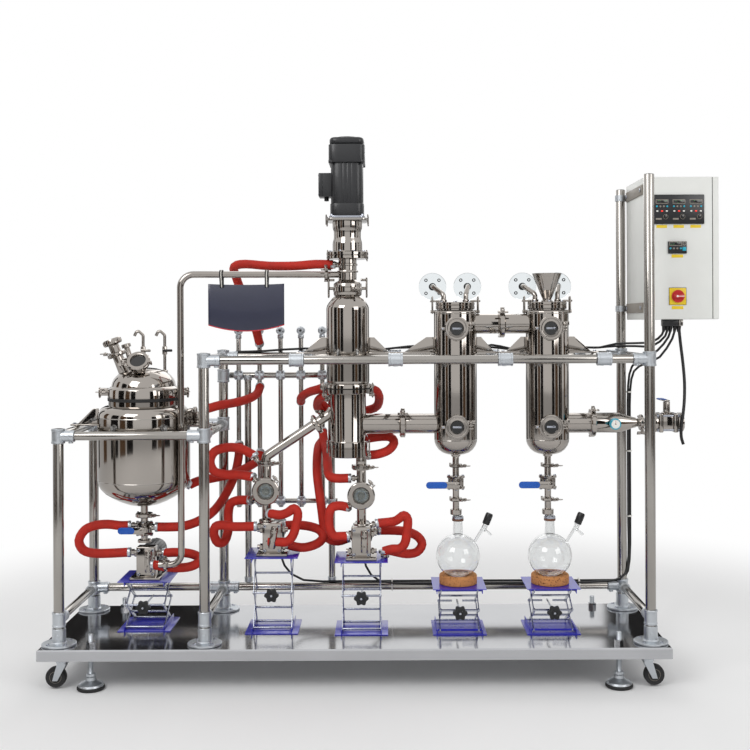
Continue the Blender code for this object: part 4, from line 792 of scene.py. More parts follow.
def ear(centre_x, y, inner, outer, bar_z, half_width=0.02, rise=0.06):
    """Mounting ear: a foot plate on a bar and the gusset that stands on it, with a cap screw."""
    foot = bar_z + 0.0164
    low, high = sorted((centre_x + inner, centre_x + outer))
    side = 1 if outer > inner else -1
    parts = [slab((low, y - half_width, foot), (high, y + half_width, foot + 0.006), STEEL, 0.0015)]
    run = abs(outer - inner) * 0.8
    clear_choice()
    bpy.ops.mesh.primitive_cube_add(size=1, location=(centre_x + inner + side * run / 2, y,
                                                      foot + 0.003 + rise / 2),
                                    scale=(run, 0.006, rise))
    web = bpy.context.active_object
    bpy.ops.object.transform_apply()
    for vertex in web.data.vertices:
        if side * (vertex.co.x - centre_x - inner) > run / 2 and vertex.co.z > foot + rise / 2:
            vertex.co.x -= side * run * 0.75
    soften(web, 0.0012)
    parts.append(coat(web, STEEL))
    parts.append(rod((centre_x + outer - side * 0.012, y, foot + 0.005),
                     (centre_x + outer - side * 0.012, y, foot + 0.011), 0.0065, BRIGHT, 0.001, 6))
    return parts


def ball_valve(at, across, half):
    """Three-piece valve body: two end plates, a round middle and four tie bolts along its bore."""
    at = Vector(at)
    along = Vector(across).normalized()
    side = along.orthogonal().normalized()
    other = along.cross(side).normalized()
    parts = []
    for end in SIDES:
        spot = at + along * end * half * 0.8
        parts.append(slab_along(spot, side, other, (half * 1.9, half * 1.9, half * 0.36), STEEL))
    parts.append(turned([(half * 0.6, -half * 0.7), (half * 0.92, -half * 0.55), (half * 0.98, 0),
                         (half * 0.92, half * 0.55), (half * 0.6, half * 0.7)], STEEL, at, along, 32))
    for a, b in CORNERS:
        spot = at + (side * a + other * b) * half * 0.74
        parts.append(rod(spot - along * half * 0.62, spot + along * half * 0.62, half * 0.12, STEEL,
                         0.0004, 12))
        for end in SIDES:
            cap = spot + along * end * half * 0.98
            parts.append(rod(cap, cap + along * end * half * 0.16, half * 0.21, BRIGHT, 0.0006, 6))
    return parts


def finish_reactor():
    """Jacketed vessel, clamped lid with its ports and vents, and drain valve with the stem for its lever.
    """
    x = REACTOR_X
    vessel = turned([(0, 0.62), (0.03, 0.6215), (0.06, 0.6285), (0.092, 0.641), (0.122, 0.657),
                     (0.146, 0.673), (0.162, 0.69), (0.171, 0.705), (0.175, 0.725), (0.175, 0.965),
                     (0.1735, 0.979), (0.168, 0.99), (0.159, 0.999), (0.148, 1.005), (0.133, 1.0089),
                     (0.133, 1.026), (0.131, 1.0272), (0.122, 1.0272), (0.122, 0.9)], STEEL, (x, 0, 0),
                    UP, 96)
    parts = [vessel]
    for z in (0.725, 0.966):
        parts.append(turned([(0.1746, z - 0.0022), (0.1756, z), (0.1746, z + 0.0022)], "satin_tube",
                            (x, 0, 0), UP, 96))
    parts.append(turned([(0, 0.63), (0.014, 0.632), (0.014, 0.592), (0.03, 0.592), (0.0312, 0.59),
                         (0.0312, 0.578), (0.03, 0.576), (0.014, 0.576), (0.014, 0.556), (0.0, 0.556)],
                        STEEL, (x, 0, 0)))
    parts += pipe_clamp((x, 0, 0.584), UP, 0.034, (0.8, -0.6, 0))
    parts += ball_valve((x, 0, 0.532), UP, 0.0255)
    parts += [rod((x, -0.02, 0.532), (x, -0.0435, 0.532), 0.008, STEEL),
              turned([(0.0, 0.507), (0.013, 0.507), (0.013, 0.492), (0.024, 0.49), (0.026, 0.488),
                      (0.026, 0.48), (0.0, 0.478)], STEEL, (x, 0, 0), UP, 40)]
    for side in SIDES:
        parts += ear(x, 0, side * 0.174, side * (0.259 + 0.02), MID_BAR, 0.02, 0.062)
    for spot, way in (((x + 0.175, 0.0, 0.985), (1, 0, 0.1)), ((x + 0.16, 0.03, 0.7), (1, 0.2, 0))):
        tip = Vector(spot) + Vector(way).normalized() * 0.03
        parts.append(rod(Vector(spot) - Vector(way) * 0.01, tip, 0.0085, STEEL))
        parts.append(hexagon(tip - Vector(way).normalized() * 0.014, tip, 0.0135, STEEL))
    joined("reactor_vessel_piece", parts, "frame", ["reactor_vessel"])

    dome = turned([(0.122, 1.0274), (0.133, 1.0274), (0.1345, 1.03), (0.1345, 1.033), (0.1325, 1.0345),
                   (0.1325, 1.037), (0.1355, 1.0385), (0.1355, 1.07), (0.1335, 1.074), (0.122, 1.0813),
                   (0.119, 1.096), (0.113, 1.109), (0.102, 1.122), (0.088, 1.133), (0.07, 1.142),
                   (0.048, 1.1485), (0.024, 1.1516), (0, 1.1523)], STEEL, (x, 0, 0), UP, 96)
    seal = turned([(0.1325, 1.0262), (0.1362, 1.0275), (0.1362, 1.0385), (0.1325, 1.0395)],
                  "black_rubber", (x, 0, 0), UP, 80)
    parts = [dome, seal]
    for side in SIDES:
        spot = Vector((x + side * 0.15, 0, 1.0593))
        parts.append(slab((spot.x - 0.018, -0.012, 1.045), (spot.x + 0.018, 0.012, 1.0735),
                          STEEL, 0.003, 3))
        parts.append(rod((spot.x, -0.016, 1.0593), (spot.x, 0.016, 1.0593), 0.0055, STEEL, 0.001, 20))
        parts.append(oval_hook((x + side * 0.17, 0, 1.0563), 0.036, 0.02, 0.003, along=REAR))
        parts += wing_nut((x + side * 0.16, -0.01, 1.0593), FRONT, size=1.0)
    port_low, port_high = Vector((x - 0.062, -0.02, 1.11)), Vector((x - 0.12, -0.02, 1.262))
    way = (port_high - port_low).normalized()
    parts += [rod(port_low, port_high - way * 0.022, 0.02, STEEL),
              turned([(0.02, -0.004), (0.033, -0.003), (0.034, 0.003), (0.02, 0.004)], STEEL,
                     port_high - way * 0.062, way),
              turned([(0, 0), (0.0335, 0.001), (0.035, 0.003), (0.035, 0.018), (0.033, 0.0215),
                      (0.024, 0.022), (0, 0.0205)], STEEL, port_high - way * 0.022, way)]
    for number in range(24):
        angle = 2 * math.pi * number / 24
        side = way.orthogonal().normalized()
        other = way.cross(side)
        spot = port_high - way * 0.011 + (side * math.cos(angle) + other * math.sin(angle)) * 0.035
        parts.append(rod(spot - way * 0.007, spot + way * 0.007, 0.0014, STEEL, 0.0003, 8))
    parts += pipe_clamp(port_high - way * 0.062, way, 0.037, (-0.9, -0.3, 0), 0.014)
    small_low, small_high = Vector((x - 0.045, 0.055, 1.115)), Vector((x - 0.082, 0.055, 1.24))
    way = (small_high - small_low).normalized()
    parts += [rod(small_low, small_high, 0.011, STEEL),
              turned([(0, 0), (0.018, 0.001), (0.018, 0.013), (0.016, 0.015), (0, 0.015)], STEEL,
                     small_high - way * 0.012, way)]
    aim = Vector((0, -0.75, 0.65)).normalized()
    ring_at = Vector((x - 0.004, -0.078, 1.178))
    parts += [rod((x - 0.004, -0.045, 1.125), ring_at - aim * 0.008, 0.026, STEEL),
              turned([(0.028, -0.01), (0.042, -0.01), (0.044, -0.008), (0.044, 0.006), (0.041, 0.01),
                      (0.036, 0.0105), (0.03, 0.0085), (0.028, 0.004), (0.028, -0.01)], STEEL, ring_at,
                     aim, 64),
              # Painted shade: a near-black disc across the ring stands for the shade inside the open port
              turned([(0, 0.002), (0.0285, 0.002), (0.0285, -0.002), (0, -0.002)], "dark_bore", ring_at,
                     aim)]
    parts += pipe_clamp(ring_at, aim, 0.0455, (-1, 0, 0.1), 0.015)
    for offset, handle in ((-0.012, STEEL), (0.072, "black_plastic")):
        foot = Vector((x + offset, 0.045, 1.112))
        line = bends([foot, foot + Vector((0, 0, 0.165)), foot + Vector((-0.022, 0, 0.186)),
                      foot + Vector((-0.034, 0, 0.162))], 0.012, 6)
        parts.append(tube(line, 0.006, STEEL))
        cock = foot + Vector((0, 0, 0.105))
        parts += [rod(cock - Vector((0, 0, 0.016)), cock + Vector((0, 0, 0.016)), 0.0105, STEEL, 0.002,
                      6), rod(cock, cock + Vector((0, -0.02, 0)), 0.006, STEEL),
                  hexagon(foot + Vector((0, 0, 0.012)), foot + Vector((0, 0, 0.028)), 0.013, STEEL),
                  slab(cock + Vector((-0.004, -0.026, -0.005)), cock + Vector((0.034, -0.019, 0.005)),
                       handle, 0.003, 3)]
    joined("reactor_lid_piece", parts, "frame", ["reactor_lid"])


def lever_piece(node, hub, reach, pin, body):
    """Valve lever: vinyl-sleeved handle with round ends on a straight steel strap, and its nut."""
    low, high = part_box(node)
    hub, pin = Vector(hub), Vector(pin).normalized()
    size = high - low
    long_way = max(range(3), key=lambda axis: size[axis])
    thin_way = [axis for axis in range(3) if abs(pin[axis]) > 0.5][0]
    grip_low, grip_high = low.copy(), high.copy()
    toward = 1 if high[long_way] - hub[long_way] > hub[long_way] - low[long_way] else -1
    if toward > 0:
        grip_low[long_way] = hub[long_way] + reach * 0.3
    else:
        grip_high[long_way] = hub[long_way] - reach * 0.3
    strap_low, strap_high = low.copy(), high.copy()
    for box_low, box_high, trim in ((grip_low, grip_high, 0.0), (strap_low, strap_high, 0.0012)):
        box_low[thin_way] += trim
        box_high[thin_way] -= trim
    if toward > 0:
        strap_high[long_way] = hub[long_way] + reach * 0.55
    else:
        strap_low[long_way] = hub[long_way] - reach * 0.55
    parts = [rounded_strip(grip_low, grip_high, thin_way, "lever_vinyl", 0.0018),
             rounded_strip(strap_low, strap_high, thin_way, STEEL, 0.0008)]
    parts.append(hexagon(hub - pin * 0.001, hub + pin * 0.0045, 0.0085, STEEL))
    joined(f"{node}_piece", parts, body, [node])


def rounded_strip(low, high, thin_way, name, edge):
    """A flat strip whose corners, seen along its thin direction, are rounded to its half width."""
    clear_choice()
    bpy.ops.mesh.primitive_cube_add(size=1, location=(low + high) / 2, scale=high - low)
    made = bpy.context.active_object
    bpy.ops.object.transform_apply()
    width = sorted(high - low)[1]
    bpy.ops.object.mode_set(mode="EDIT")
    bpy.ops.mesh.select_mode(type="EDGE")
    bpy.ops.mesh.select_all(action="DESELECT")
    bpy.ops.object.mode_set(mode="OBJECT")
    for line in made.data.edges:
        ends = [made.data.vertices[number].co for number in line.vertices]
        line.select = abs((ends[0] - ends[1])[thin_way]) > 1e-5
    bpy.ops.object.mode_set(mode="EDIT")
    bpy.ops.mesh.bevel(offset=width * 0.48, segments=7, affect="EDGES")
    bpy.ops.mesh.select_all(action="DESELECT")
    bpy.ops.mesh.select_mode(type="VERT")
    bpy.ops.object.mode_set(mode="OBJECT")
    soften(made, edge)
    return coat(made, name)


# Evaporator and its drive

def bolt_ring(centre, radius, count, z_low, z_high, size, start):
    parts = []
    for number in range(count):
        angle = math.radians(start + 360 * number / count)
        spot = (centre[0] + radius * math.cos(angle), centre[1] + radius * math.sin(angle))
        parts.append(rod((*spot, z_low), (*spot, z_high), size, BRIGHT, 0.001, 6))
    return parts


def tri_clamp(centre, z, radius, wing, width):
    return pipe_clamp((centre[0], centre[1], z), UP, radius, wing, width)


def finish_evaporator():
    """The jacketed column with its head clamp, joint band, ears, pipes and outlets."""
    x, y = EVAPORATOR_X, COLUMN_Y
    column = turned([(0, 1.5643), (0.0345, 1.5643), (0.0345, 1.548), (0.038, 1.546), (0.038, 1.54),
                     (0.0345, 1.538), (0.0345, 1.485), (0.038, 1.482), (0.052, 1.472), (0.0535, 1.469),
                     (0.0535, 1.429), (0.052, 1.4265), (0.049, 1.424), (0.06, 1.414), (0.072, 1.399),
                     (0.079, 1.387), (0.0815, 1.378), (0.0817, 1.37), (0.0817, 1.102), (0.081, 1.095),
                     (0.08, 1.092), (0.086, 1.0898), (0.0867, 1.0885), (0.0867, 1.0745), (0.085, 1.073),
                     (0.085, 1.0715), (0.0867, 1.07), (0.0867, 1.056), (0.0855, 1.0545), (0.072, 1.053),
                     (0.0679, 1.051), (0.0679, 0.873), (0.069, 0.871), (0.073, 0.87), (0.0735, 0.8685),
                     (0.0735, 0.847), (0.0725, 0.846), (0.0725, 0.844), (0.0735, 0.843),
                     (0.0735, 0.814), (0.072, 0.8122), (0, 0.8119)], STEEL, (x, y, 0), UP, 96)
    seal = turned([(0.0852, 1.0735), (0.0862, 1.0722), (0.0852, 1.071)], "black_rubber", (x, y, 0), UP, 80)
    parts = [column, seal]
    parts += tri_clamp((x, y), 1.4485, 0.0555, (0.4, -0.9, 0), 0.02)
    for side in SIDES:
        parts.append(oval_hook((x + side * 0.0725, y, 1.456), 0.073, 0.0225, 0.0034, along=REAR))
        parts.append(rod((x + side * 0.05, y, 1.453), (x + side * 0.074, y, 1.453), 0.006, STEEL))
        parts.append(rod((x + side * 0.05, y, 1.485), (x + side * 0.07, y, 1.485), 0.005, STEEL))
        parts.append(oval_hook((x + side * 0.0935, y, 1.064), 0.052, 0.02, 0.0032, along=REAR))
        parts.append(rod((x + side * 0.08, y, 1.081), (x + side * 0.1, y, 1.081), 0.006, STEEL))
        parts.append(rod((x + side * 0.08, y, 1.047), (x + side * 0.1, y, 1.047), 0.006, STEEL))
        parts.append(oval_hook((x + side * 0.08, y, 0.848), 0.046, 0.02, 0.003, along=REAR))
    neck_tube = 1.5429
    parts += [rod((x - 0.03, y, neck_tube), (x - 0.0645, y, neck_tube), 0.01, STEEL),
              hexagon((x - 0.046, y, neck_tube), (x - 0.058, y, neck_tube), 0.0145, STEEL),
              turned([(0.0345, 1.512), (0.04, 1.514), (0.041, 1.517), (0.04, 1.52), (0.0345, 1.522)], STEEL,
                     (x, y, 0), UP, 48)]
    parts += bolt_ring((x, y), 0.044, 6, 1.424, 1.4295, 0.005, 15)
    parts += [rod((x, y, VAPOUR_Z), (0.0518, y, VAPOUR_Z), 0.038, STEEL, 0.001, 48),
              turned([(0.038, -0.005), (0.051, -0.004), (0.053, -0.002), (0.053, 0.003), (0.051, 0.005),
                      (0.038, 0.005)], STEEL, (0.0568, y, VAPOUR_Z), RIGHT, 64)]
    parts += pipe_clamp((0.0618, y, VAPOUR_Z), RIGHT, 0.0528, (0, -0.6, 0.9), 0.019)
    outlet = x + 0.049
    parts += [rod((outlet, y, 0.815), (outlet, y, 0.774), 0.02, STEEL),
              turned([(0, 0.7704), (0.033, 0.7706), (0.034, 0.772), (0.034, 0.7775), (0.033, 0.779),
                      (0.02, 0.779)], STEEL, (outlet, y, 0), UP, 48)]
    parts += [tube(bends([(x - 0.06, y, 0.99), (-0.218, y, 0.972), (-0.461, y, 0.812),
                          (-0.461, y, 0.789)], 0.03, 10), 0.0185, STEEL, resolution=8),
              turned([(0.0185, 0.7854), (0.033, 0.7856), (0.034, 0.787), (0.034, 0.7925),
                      (0.033, 0.794), (0.0185, 0.794)], STEEL, (-0.461, y, 0), UP, 48)]
    slope = Vector((-0.243, 0, -0.16)).normalized()
    parts += [turned([(0.0185, -0.009), (0.033, -0.008), (0.034, -0.006), (0.034, 0.006),
                      (0.033, 0.008), (0.0185, 0.009)], STEEL, (-0.266, y, 0.93), slope, 48)]
    parts += pipe_clamp((-0.266, y, 0.9395), slope, 0.0345, (0.5, -0.5, 0.8), 0.013)
    parts += ear(x, y, -0.081, HANGERS[0] - x - 0.016,
                 HIGH_BAR) + ear(x, y, 0.081, HANGERS[1] - x - 0.001, HIGH_BAR)
    for spot, way in (((x - 0.078, y + 0.03, 1.075), (-1, 0.5, 0)),
                      ((x - 0.06, y + 0.03, 1.03), (-1, 0.4, 0)),
                      ((x + 0.062, y + 0.01, 1.064), (1, 0.2, 0)),
                      ((x + 0.055, y + 0.02, 0.812), (1, 0.3, 0)),
                      ((x + 0.055, y + 0.07, 0.868), (1, 0.4, 0))):
        tip = Vector(spot) + Vector(way).normalized() * 0.03
        parts.append(rod(spot, tip, 0.008, STEEL))
        parts.append(hexagon(tip - Vector(way).normalized() * 0.012, tip, 0.013, STEEL))
    joined("evaporator_piece", parts, "frame", ["evaporator_body"])
    dress("wiper_rotor", BRIGHT)


def shaped(reach, low, high, name, at=(0, 0, 0), along=UP, edge=0.001, sides=72):
    """A straight piece whose outline is a radius for each angle round its axis."""
    clear_choice()
    bpy.ops.mesh.primitive_cylinder_add(vertices=sides, radius=1, depth=high - low,
                                        location=(0, 0, (low + high) / 2))
    made = bpy.context.active_object
    bpy.ops.object.transform_apply()
    for vertex in made.data.vertices:
        angle = math.atan2(vertex.co.y, vertex.co.x)
        vertex.co.x, vertex.co.y = reach(angle) * math.cos(angle), reach(angle) * math.sin(angle)
    soften(made, edge, 3)
    return put(coat(made, name), at, along)


def squared(half, power):
    """Outline of a square with round corners, the squarer the higher the power."""
    return lambda angle: half / (abs(math.cos(angle)) ** power
                                 + abs(math.sin(angle)) ** power) ** (1 / power)


def finish_motor():
    """Drive motor with its cowl, terminal box, plates with clips, and waisted coupling housing."""
    x, y = EVAPORATOR_X, COLUMN_Y
    parts = [turned([(0, 1.5647), (0.078, 1.5647), (0.08, 1.566), (0.08, 1.5745), (0.0785, 1.576),
                     (0.074, 1.5762), (0.074, 1.5778), (0.0785, 1.578), (0.08, 1.5795), (0.08, 1.589),
                     (0.0785, 1.5905), (0.06, 1.5917), (0.0565, 1.5935), (0.0565, 1.62), (0.0555, 1.63),
                     (0.0525, 1.64), (0.0515, 1.648), (0.0515, 1.664), (0.0525, 1.672), (0.0555, 1.68),
                     (0.0565, 1.69), (0.0565, 1.7073), (0, 1.7073)], STEEL, (x, y, 0), UP, 80)]
    parts.append(shaped(squared(0.078, 7), 1.7075, 1.7165, "satin_tube", (x, y, 0), edge=0.0014))
    parts.append(shaped(squared(0.068, 7), 1.7165, 1.7253, BRIGHT, (x, y, 0), edge=0.0012))
    for side in SIDES:
        for low, height, reach in ((1.7125, 0.036, 0.079), (1.578, 0.036, 0.074)):
            for depth in (-0.034, 0.034):
                parts.append(oval_hook((x + side * reach, y + depth, low), height, 0.015, 0.0026,
                                       along=REAR))
    parts += bolt_ring((x, y), 0.068, 8, 1.591, 1.5965, 0.0058, 22.5)

    def fluted(angle):
        flute = 0.0011 * max(0.0, math.cos(24 * angle)) if abs(math.sin(2 * angle)) < 0.72 else 0.0
        return squared(0.0615, 4)(angle) - flute
    parts += [shaped(squared(0.064, 4.5), 1.7253, 1.773, PAINT, (x, y, 0), edge=0.002, sides=96),
              shaped(fluted, 1.772, 1.929, PAINT, (x, y, 0), edge=0.001, sides=192),
              shaped(squared(0.069, 6), 1.9262, 1.995, PAINT, (x, y, 0), edge=0.002, sides=96),
              shaped(squared(0.0655, 5), 1.995, 2.0225, PAINT, (x, y, 0), edge=0.01, sides=96)]
    grille = [(0, 2.0222), (0.048, 2.0222), (0.048, 2.026), (0.045, 2.0262)]
    for ring in (0.04, 0.032, 0.024):
        grille += [(ring + 0.004, 2.0232), (ring, 2.0232), (ring - 0.001, 2.0262), (ring - 0.003, 2.0262)]
    grille += [(0.014, 2.0272), (0, 2.0273)]
    parts.append(turned(grille, PAINT, (x, y, 0), UP, 56))
    for a, b in CORNERS:
        parts.append(rod((x + a * 0.06, y + b * 0.06, 1.923), (x + a * 0.06, y + b * 0.06, 1.935), 0.0085,
                         PAINT, 0.0015, 20))
        parts.append(rod((x + a * 0.0465, y + b * 0.0465, 1.7255),
                         (x + a * 0.0465, y + b * 0.0465, 1.74), 0.009, PAINT, 0.0015, 20))
        parts.append(rod((x + a * 0.058, y + b * 0.058, 1.716), (x + a * 0.058, y + b * 0.058, 1.7315),
                         0.0055, BRIGHT, 0.0008, 6))
    box_low, box_high = Vector((x - 0.108, y - 0.036, 1.8)), Vector((x - 0.055, y + 0.036, 1.89))
    parts.append(slab(box_low, box_high, PAINT, 0.004, 3))
    parts.append(slab((box_low.x, box_low.y - 0.002, 1.803),
                      (box_low.x + 0.0165, box_high.y + 0.002, 1.887), PAINT, 0.002, 2))
    for z in (1.809, 1.881):
        for b in SIDES:
            parts.append(rod((box_low.x + 0.001, y + b * 0.03, z), (box_low.x - 0.001, y + b * 0.03, z),
                             0.0034, BRIGHT, 0.0004, 16))
    parts.append(rod((x - 0.079, y, 1.802), (x - 0.079, y, 1.786), 0.01, "black_plastic", 0.002, 6))
    joined("drive_motor_piece", parts, "frame", ["drive_motor"])


# Cold traps

def sight_port(x, z):
    """A clamped window on a trap: short tube, ring, near-black disc as painted shade of the trap's inside,
    and its hinge and wing nut.
    """
    face = -0.1425
    parts = [rod((x, -0.1, z), (x, face + 0.018, z), 0.026, STEEL, 0.001, 40),
             turned([(0.023, -0.016), (0.043, -0.015), (0.045, -0.013), (0.0455, -0.004), (0.045, 0.0),
                     (0.0425, 0.002), (0.037, 0.0026), (0.0345, 0.0018), (0.034, 0.0002),
                     (0.0265, 0.0006), (0.0245, -0.002), (0.023, -0.005), (0.023, -0.016)], STEEL,
                    (x, face, z), FRONT, 64),
             turned([(0, -0.0045), (0.024, -0.0045), (0.024, -0.0085), (0, -0.0085)], "dark_bore",
                    (x, face, z), FRONT, 48),
             slab((x - 0.0165, face + 0.0036, z - 0.0035), (x + 0.0165, face + 0.0046, z + 0.0035),
                  BRIGHT, 0.0006)]
    parts += [slab((x - 0.06, face + 0.001, z - 0.006), (x - 0.042, face + 0.013, z + 0.006), STEEL,
                   0.003, 3),
              rod((x - 0.0525, face - 0.002, z), (x - 0.0525, face + 0.016, z), 0.0038, BRIGHT, 0.0008,
                  14)]
    for low in (-0.0085, 0.003):
        parts.append(slab((x + 0.042, face + 0.001, z + low),
                          (x + 0.06, face + 0.013, z + low + 0.0055), STEEL, 0.002))
    parts += wing_nut((x + 0.051, face + 0.007, z + 0.01), UP, size=0.85)
    return parts


def coolant_disc(x, z, lid_x, lid_z):
    """Clear end disc of a coolant coil with its bolt holes, on a dark bent tube from the lid."""
    y = 0.055
    spot = Vector((x, y, z))
    parts = [turned([(0, -0.004), (0.0525, -0.004), (0.054, -0.0025), (0.054, 0.0025), (0.0525, 0.004),
                     (0, 0.004)], "clear_acrylic", spot, REAR, 72),
             turned([(0, -0.008), (0.0125, -0.007), (0.0145, -0.004), (0.0145, 0.004), (0.0125, 0.007),
                     (0, 0.008)], "black_rubber", spot, REAR, 40)]
    for number in range(4):
        angle = math.radians(45 + 90 * number)
        bolt = spot + Vector((0.036 * math.cos(angle), 0, 0.036 * math.sin(angle)))
        parts.append(turned([(0.0034, -0.0046), (0.0066, -0.0046), (0.0066, 0.0046), (0.0034, 0.0046),
                             (0.0034, -0.0046)], "black_rubber", bolt, REAR, 20))
    line = bends([(lid_x, -0.02, lid_z), (lid_x, -0.02, lid_z + 0.03), (x, y - 0.03, z), (x, y, z)],
                 0.016, 8)
    parts.append(tube(line, 0.0095, STEEL))
    parts.append(rod((lid_x, -0.02, lid_z - 0.001), (lid_x, -0.02, lid_z + 0.01), 0.0145, STEEL, 0.001, 6))
    return parts


def finish_traps():
    """Both cold traps: vessels, lids with swing bolts, windows, coolant discs, pipes, drip valves."""
    y = COLUMN_Y
    for number, x in enumerate(TRAPS_X):
        parts = [turned([(0, 0.8164), (0.018, 0.817), (0.036, 0.82), (0.052, 0.826), (0.066, 0.837),
                         (0.076, 0.852), (0.0805, 0.865), (0.0815, 0.88), (0.0815, 1.358),
                         (0.0808, 1.3615), (0.078, 1.3645), (0.073, 1.366), (0.069, 1.3675),
                         (0.069, 1.3715), (0, 1.3715)], STEEL, (x, y, 0), UP, 96),
                 turned([(0.062, 1.3714), (0.0735, 1.3714), (0.0735, 1.3732), (0.062, 1.3732)],
                        "black_rubber", (x, y, 0), UP, 64),
                 turned([(0, 1.3731), (0.0733, 1.3731), (0.0745, 1.3742), (0.0745, 1.3842),
                         (0.0736, 1.3852), (0.0728, 1.3858), (0.0728, 1.3868), (0.0736, 1.3874),
                         (0.0745, 1.3884), (0.0745, 1.3955), (0.073, 1.3978), (0.07, 1.3986),
                         (0, 1.3986)], STEEL, (x, y, 0), UP, 80)]
        for z in (0.876, 1.354):
            parts.append(turned([(0.0812, z - 0.0018), (0.0821, z), (0.0812, z + 0.0018)], "satin_tube",
                                (x, y, 0), UP, 80))
        for side in SIDES:
            parts.append(oval_hook((x + side * 0.087, y, 1.3877), 0.062, 0.0215, 0.0032, along=REAR))
            parts.append(rod((x + side * 0.07, y, 1.3625), (x + side * 0.094, y, 1.3625), 0.006, STEEL))
            parts.append(slab((min(x + side * 0.058, x + side * 0.096), y - 0.009, 1.3985),
                              (max(x + side * 0.058, x + side * 0.096), y + 0.009, 1.4065), STEEL,
                              0.0025, 3))
        parts += bolt_ring((x, y), 0.06, 6, 1.398, 1.403, 0.0048, 30)
        parts += sight_port(x, 1.298) + sight_port(x, 0.93)
        parts += coolant_disc(x - 0.082, 1.4606, x - 0.043, 1.3986)
        parts += coolant_disc(x + 0.054, 1.4606, x + 0.043, 1.3986)
        parts += ear(x, y, -0.081, HANGERS[number + 1] - x + 0.001, HIGH_BAR)
        parts += ear(x, y, 0.081, HANGERS[number + 2] - x + (-0.001, 0.016)[number], HIGH_BAR)
        parts += [rod((x, y, 0.822), (x, y, 0.5852), 0.0125, STEEL, 0.0005),
                  turned([(0.012, 0.818), (0.017, 0.81), (0.02, 0.822), (0.02, 0.826)], STEEL,
                         (x, y, 0)),
                  turned([(0, 0.588), (0.0205, 0.588), (0.022, 0.59), (0.022, 0.6065), (0.0205, 0.608),
                          (0, 0.608)], STEEL, (x, y, 0), UP, 40)]
        parts += tri_clamp((x, y), 0.775, 0.025, (0.7, -0.7, 0), 0.013)
        parts += tri_clamp((x, y), 0.646, 0.025, (0.7, -0.7, 0), 0.013)
        parts += ball_valve((x, y, 0.711), UP, 0.0255)
        parts.append(rod((x, y - 0.02, 0.705), (x, y - 0.0358, 0.705), 0.008, STEEL))
        if number == 0:
            parts += [rod((x, y, VAPOUR_Z), (0.0622, y, VAPOUR_Z), 0.038, STEEL, 0.001, 48),
                      turned([(0.038, -0.005), (0.051, -0.005), (0.053, -0.003), (0.053, 0.002),
                              (0.051, 0.004), (0.038, 0.005)], STEEL, (0.0672, y, VAPOUR_Z), RIGHT, 64),
                      rod((x, y, BRIDGE_Z), (0.4404, y, BRIDGE_Z), 0.038, STEEL, 0.001, 48),
                      turned([(0.038, -0.01), (0.051, -0.009), (0.053, -0.007), (0.053, 0.0),
                              (0.038, 0.0)], STEEL, (0.44, y, BRIDGE_Z), RIGHT, 64)]
            joined("cold_trap_piece_1", parts, "frame", ["cold_trap_1"])
        else:
            parts += [rod((x, y, BRIDGE_Z), (0.4414, y, BRIDGE_Z), 0.038, STEEL, 0.001, 48),
                      turned([(0.038, 0.0), (0.053, 0.0), (0.053, 0.007), (0.051, 0.009), (0.038, 0.01)],
                             STEEL, (0.4418, y, BRIDGE_Z), RIGHT, 64)]
            parts += pipe_clamp((0.442, y, BRIDGE_Z), RIGHT, 0.0528, (0, -0.5, 0.9), 0.019)
            parts += [turned([(0, 1.3984), (0.022, 1.3986), (0.022, 1.403), (0.0175, 1.4045),
                              (0.017, 1.41), (0.02, 1.416), (0.055, 1.5035), (0.056, 1.5055),
                              (0.056, 1.5066), (0.0525, 1.5066), (0.051, 1.5035), (0.0145, 1.419),
                              (0.013, 1.413), (0, 1.4126)], STEEL, (x, y, 0), UP, 64)]
            finish_vacuum_line(parts, x, y)
            joined("cold_trap_piece_2", parts, "frame", ["cold_trap_2"])


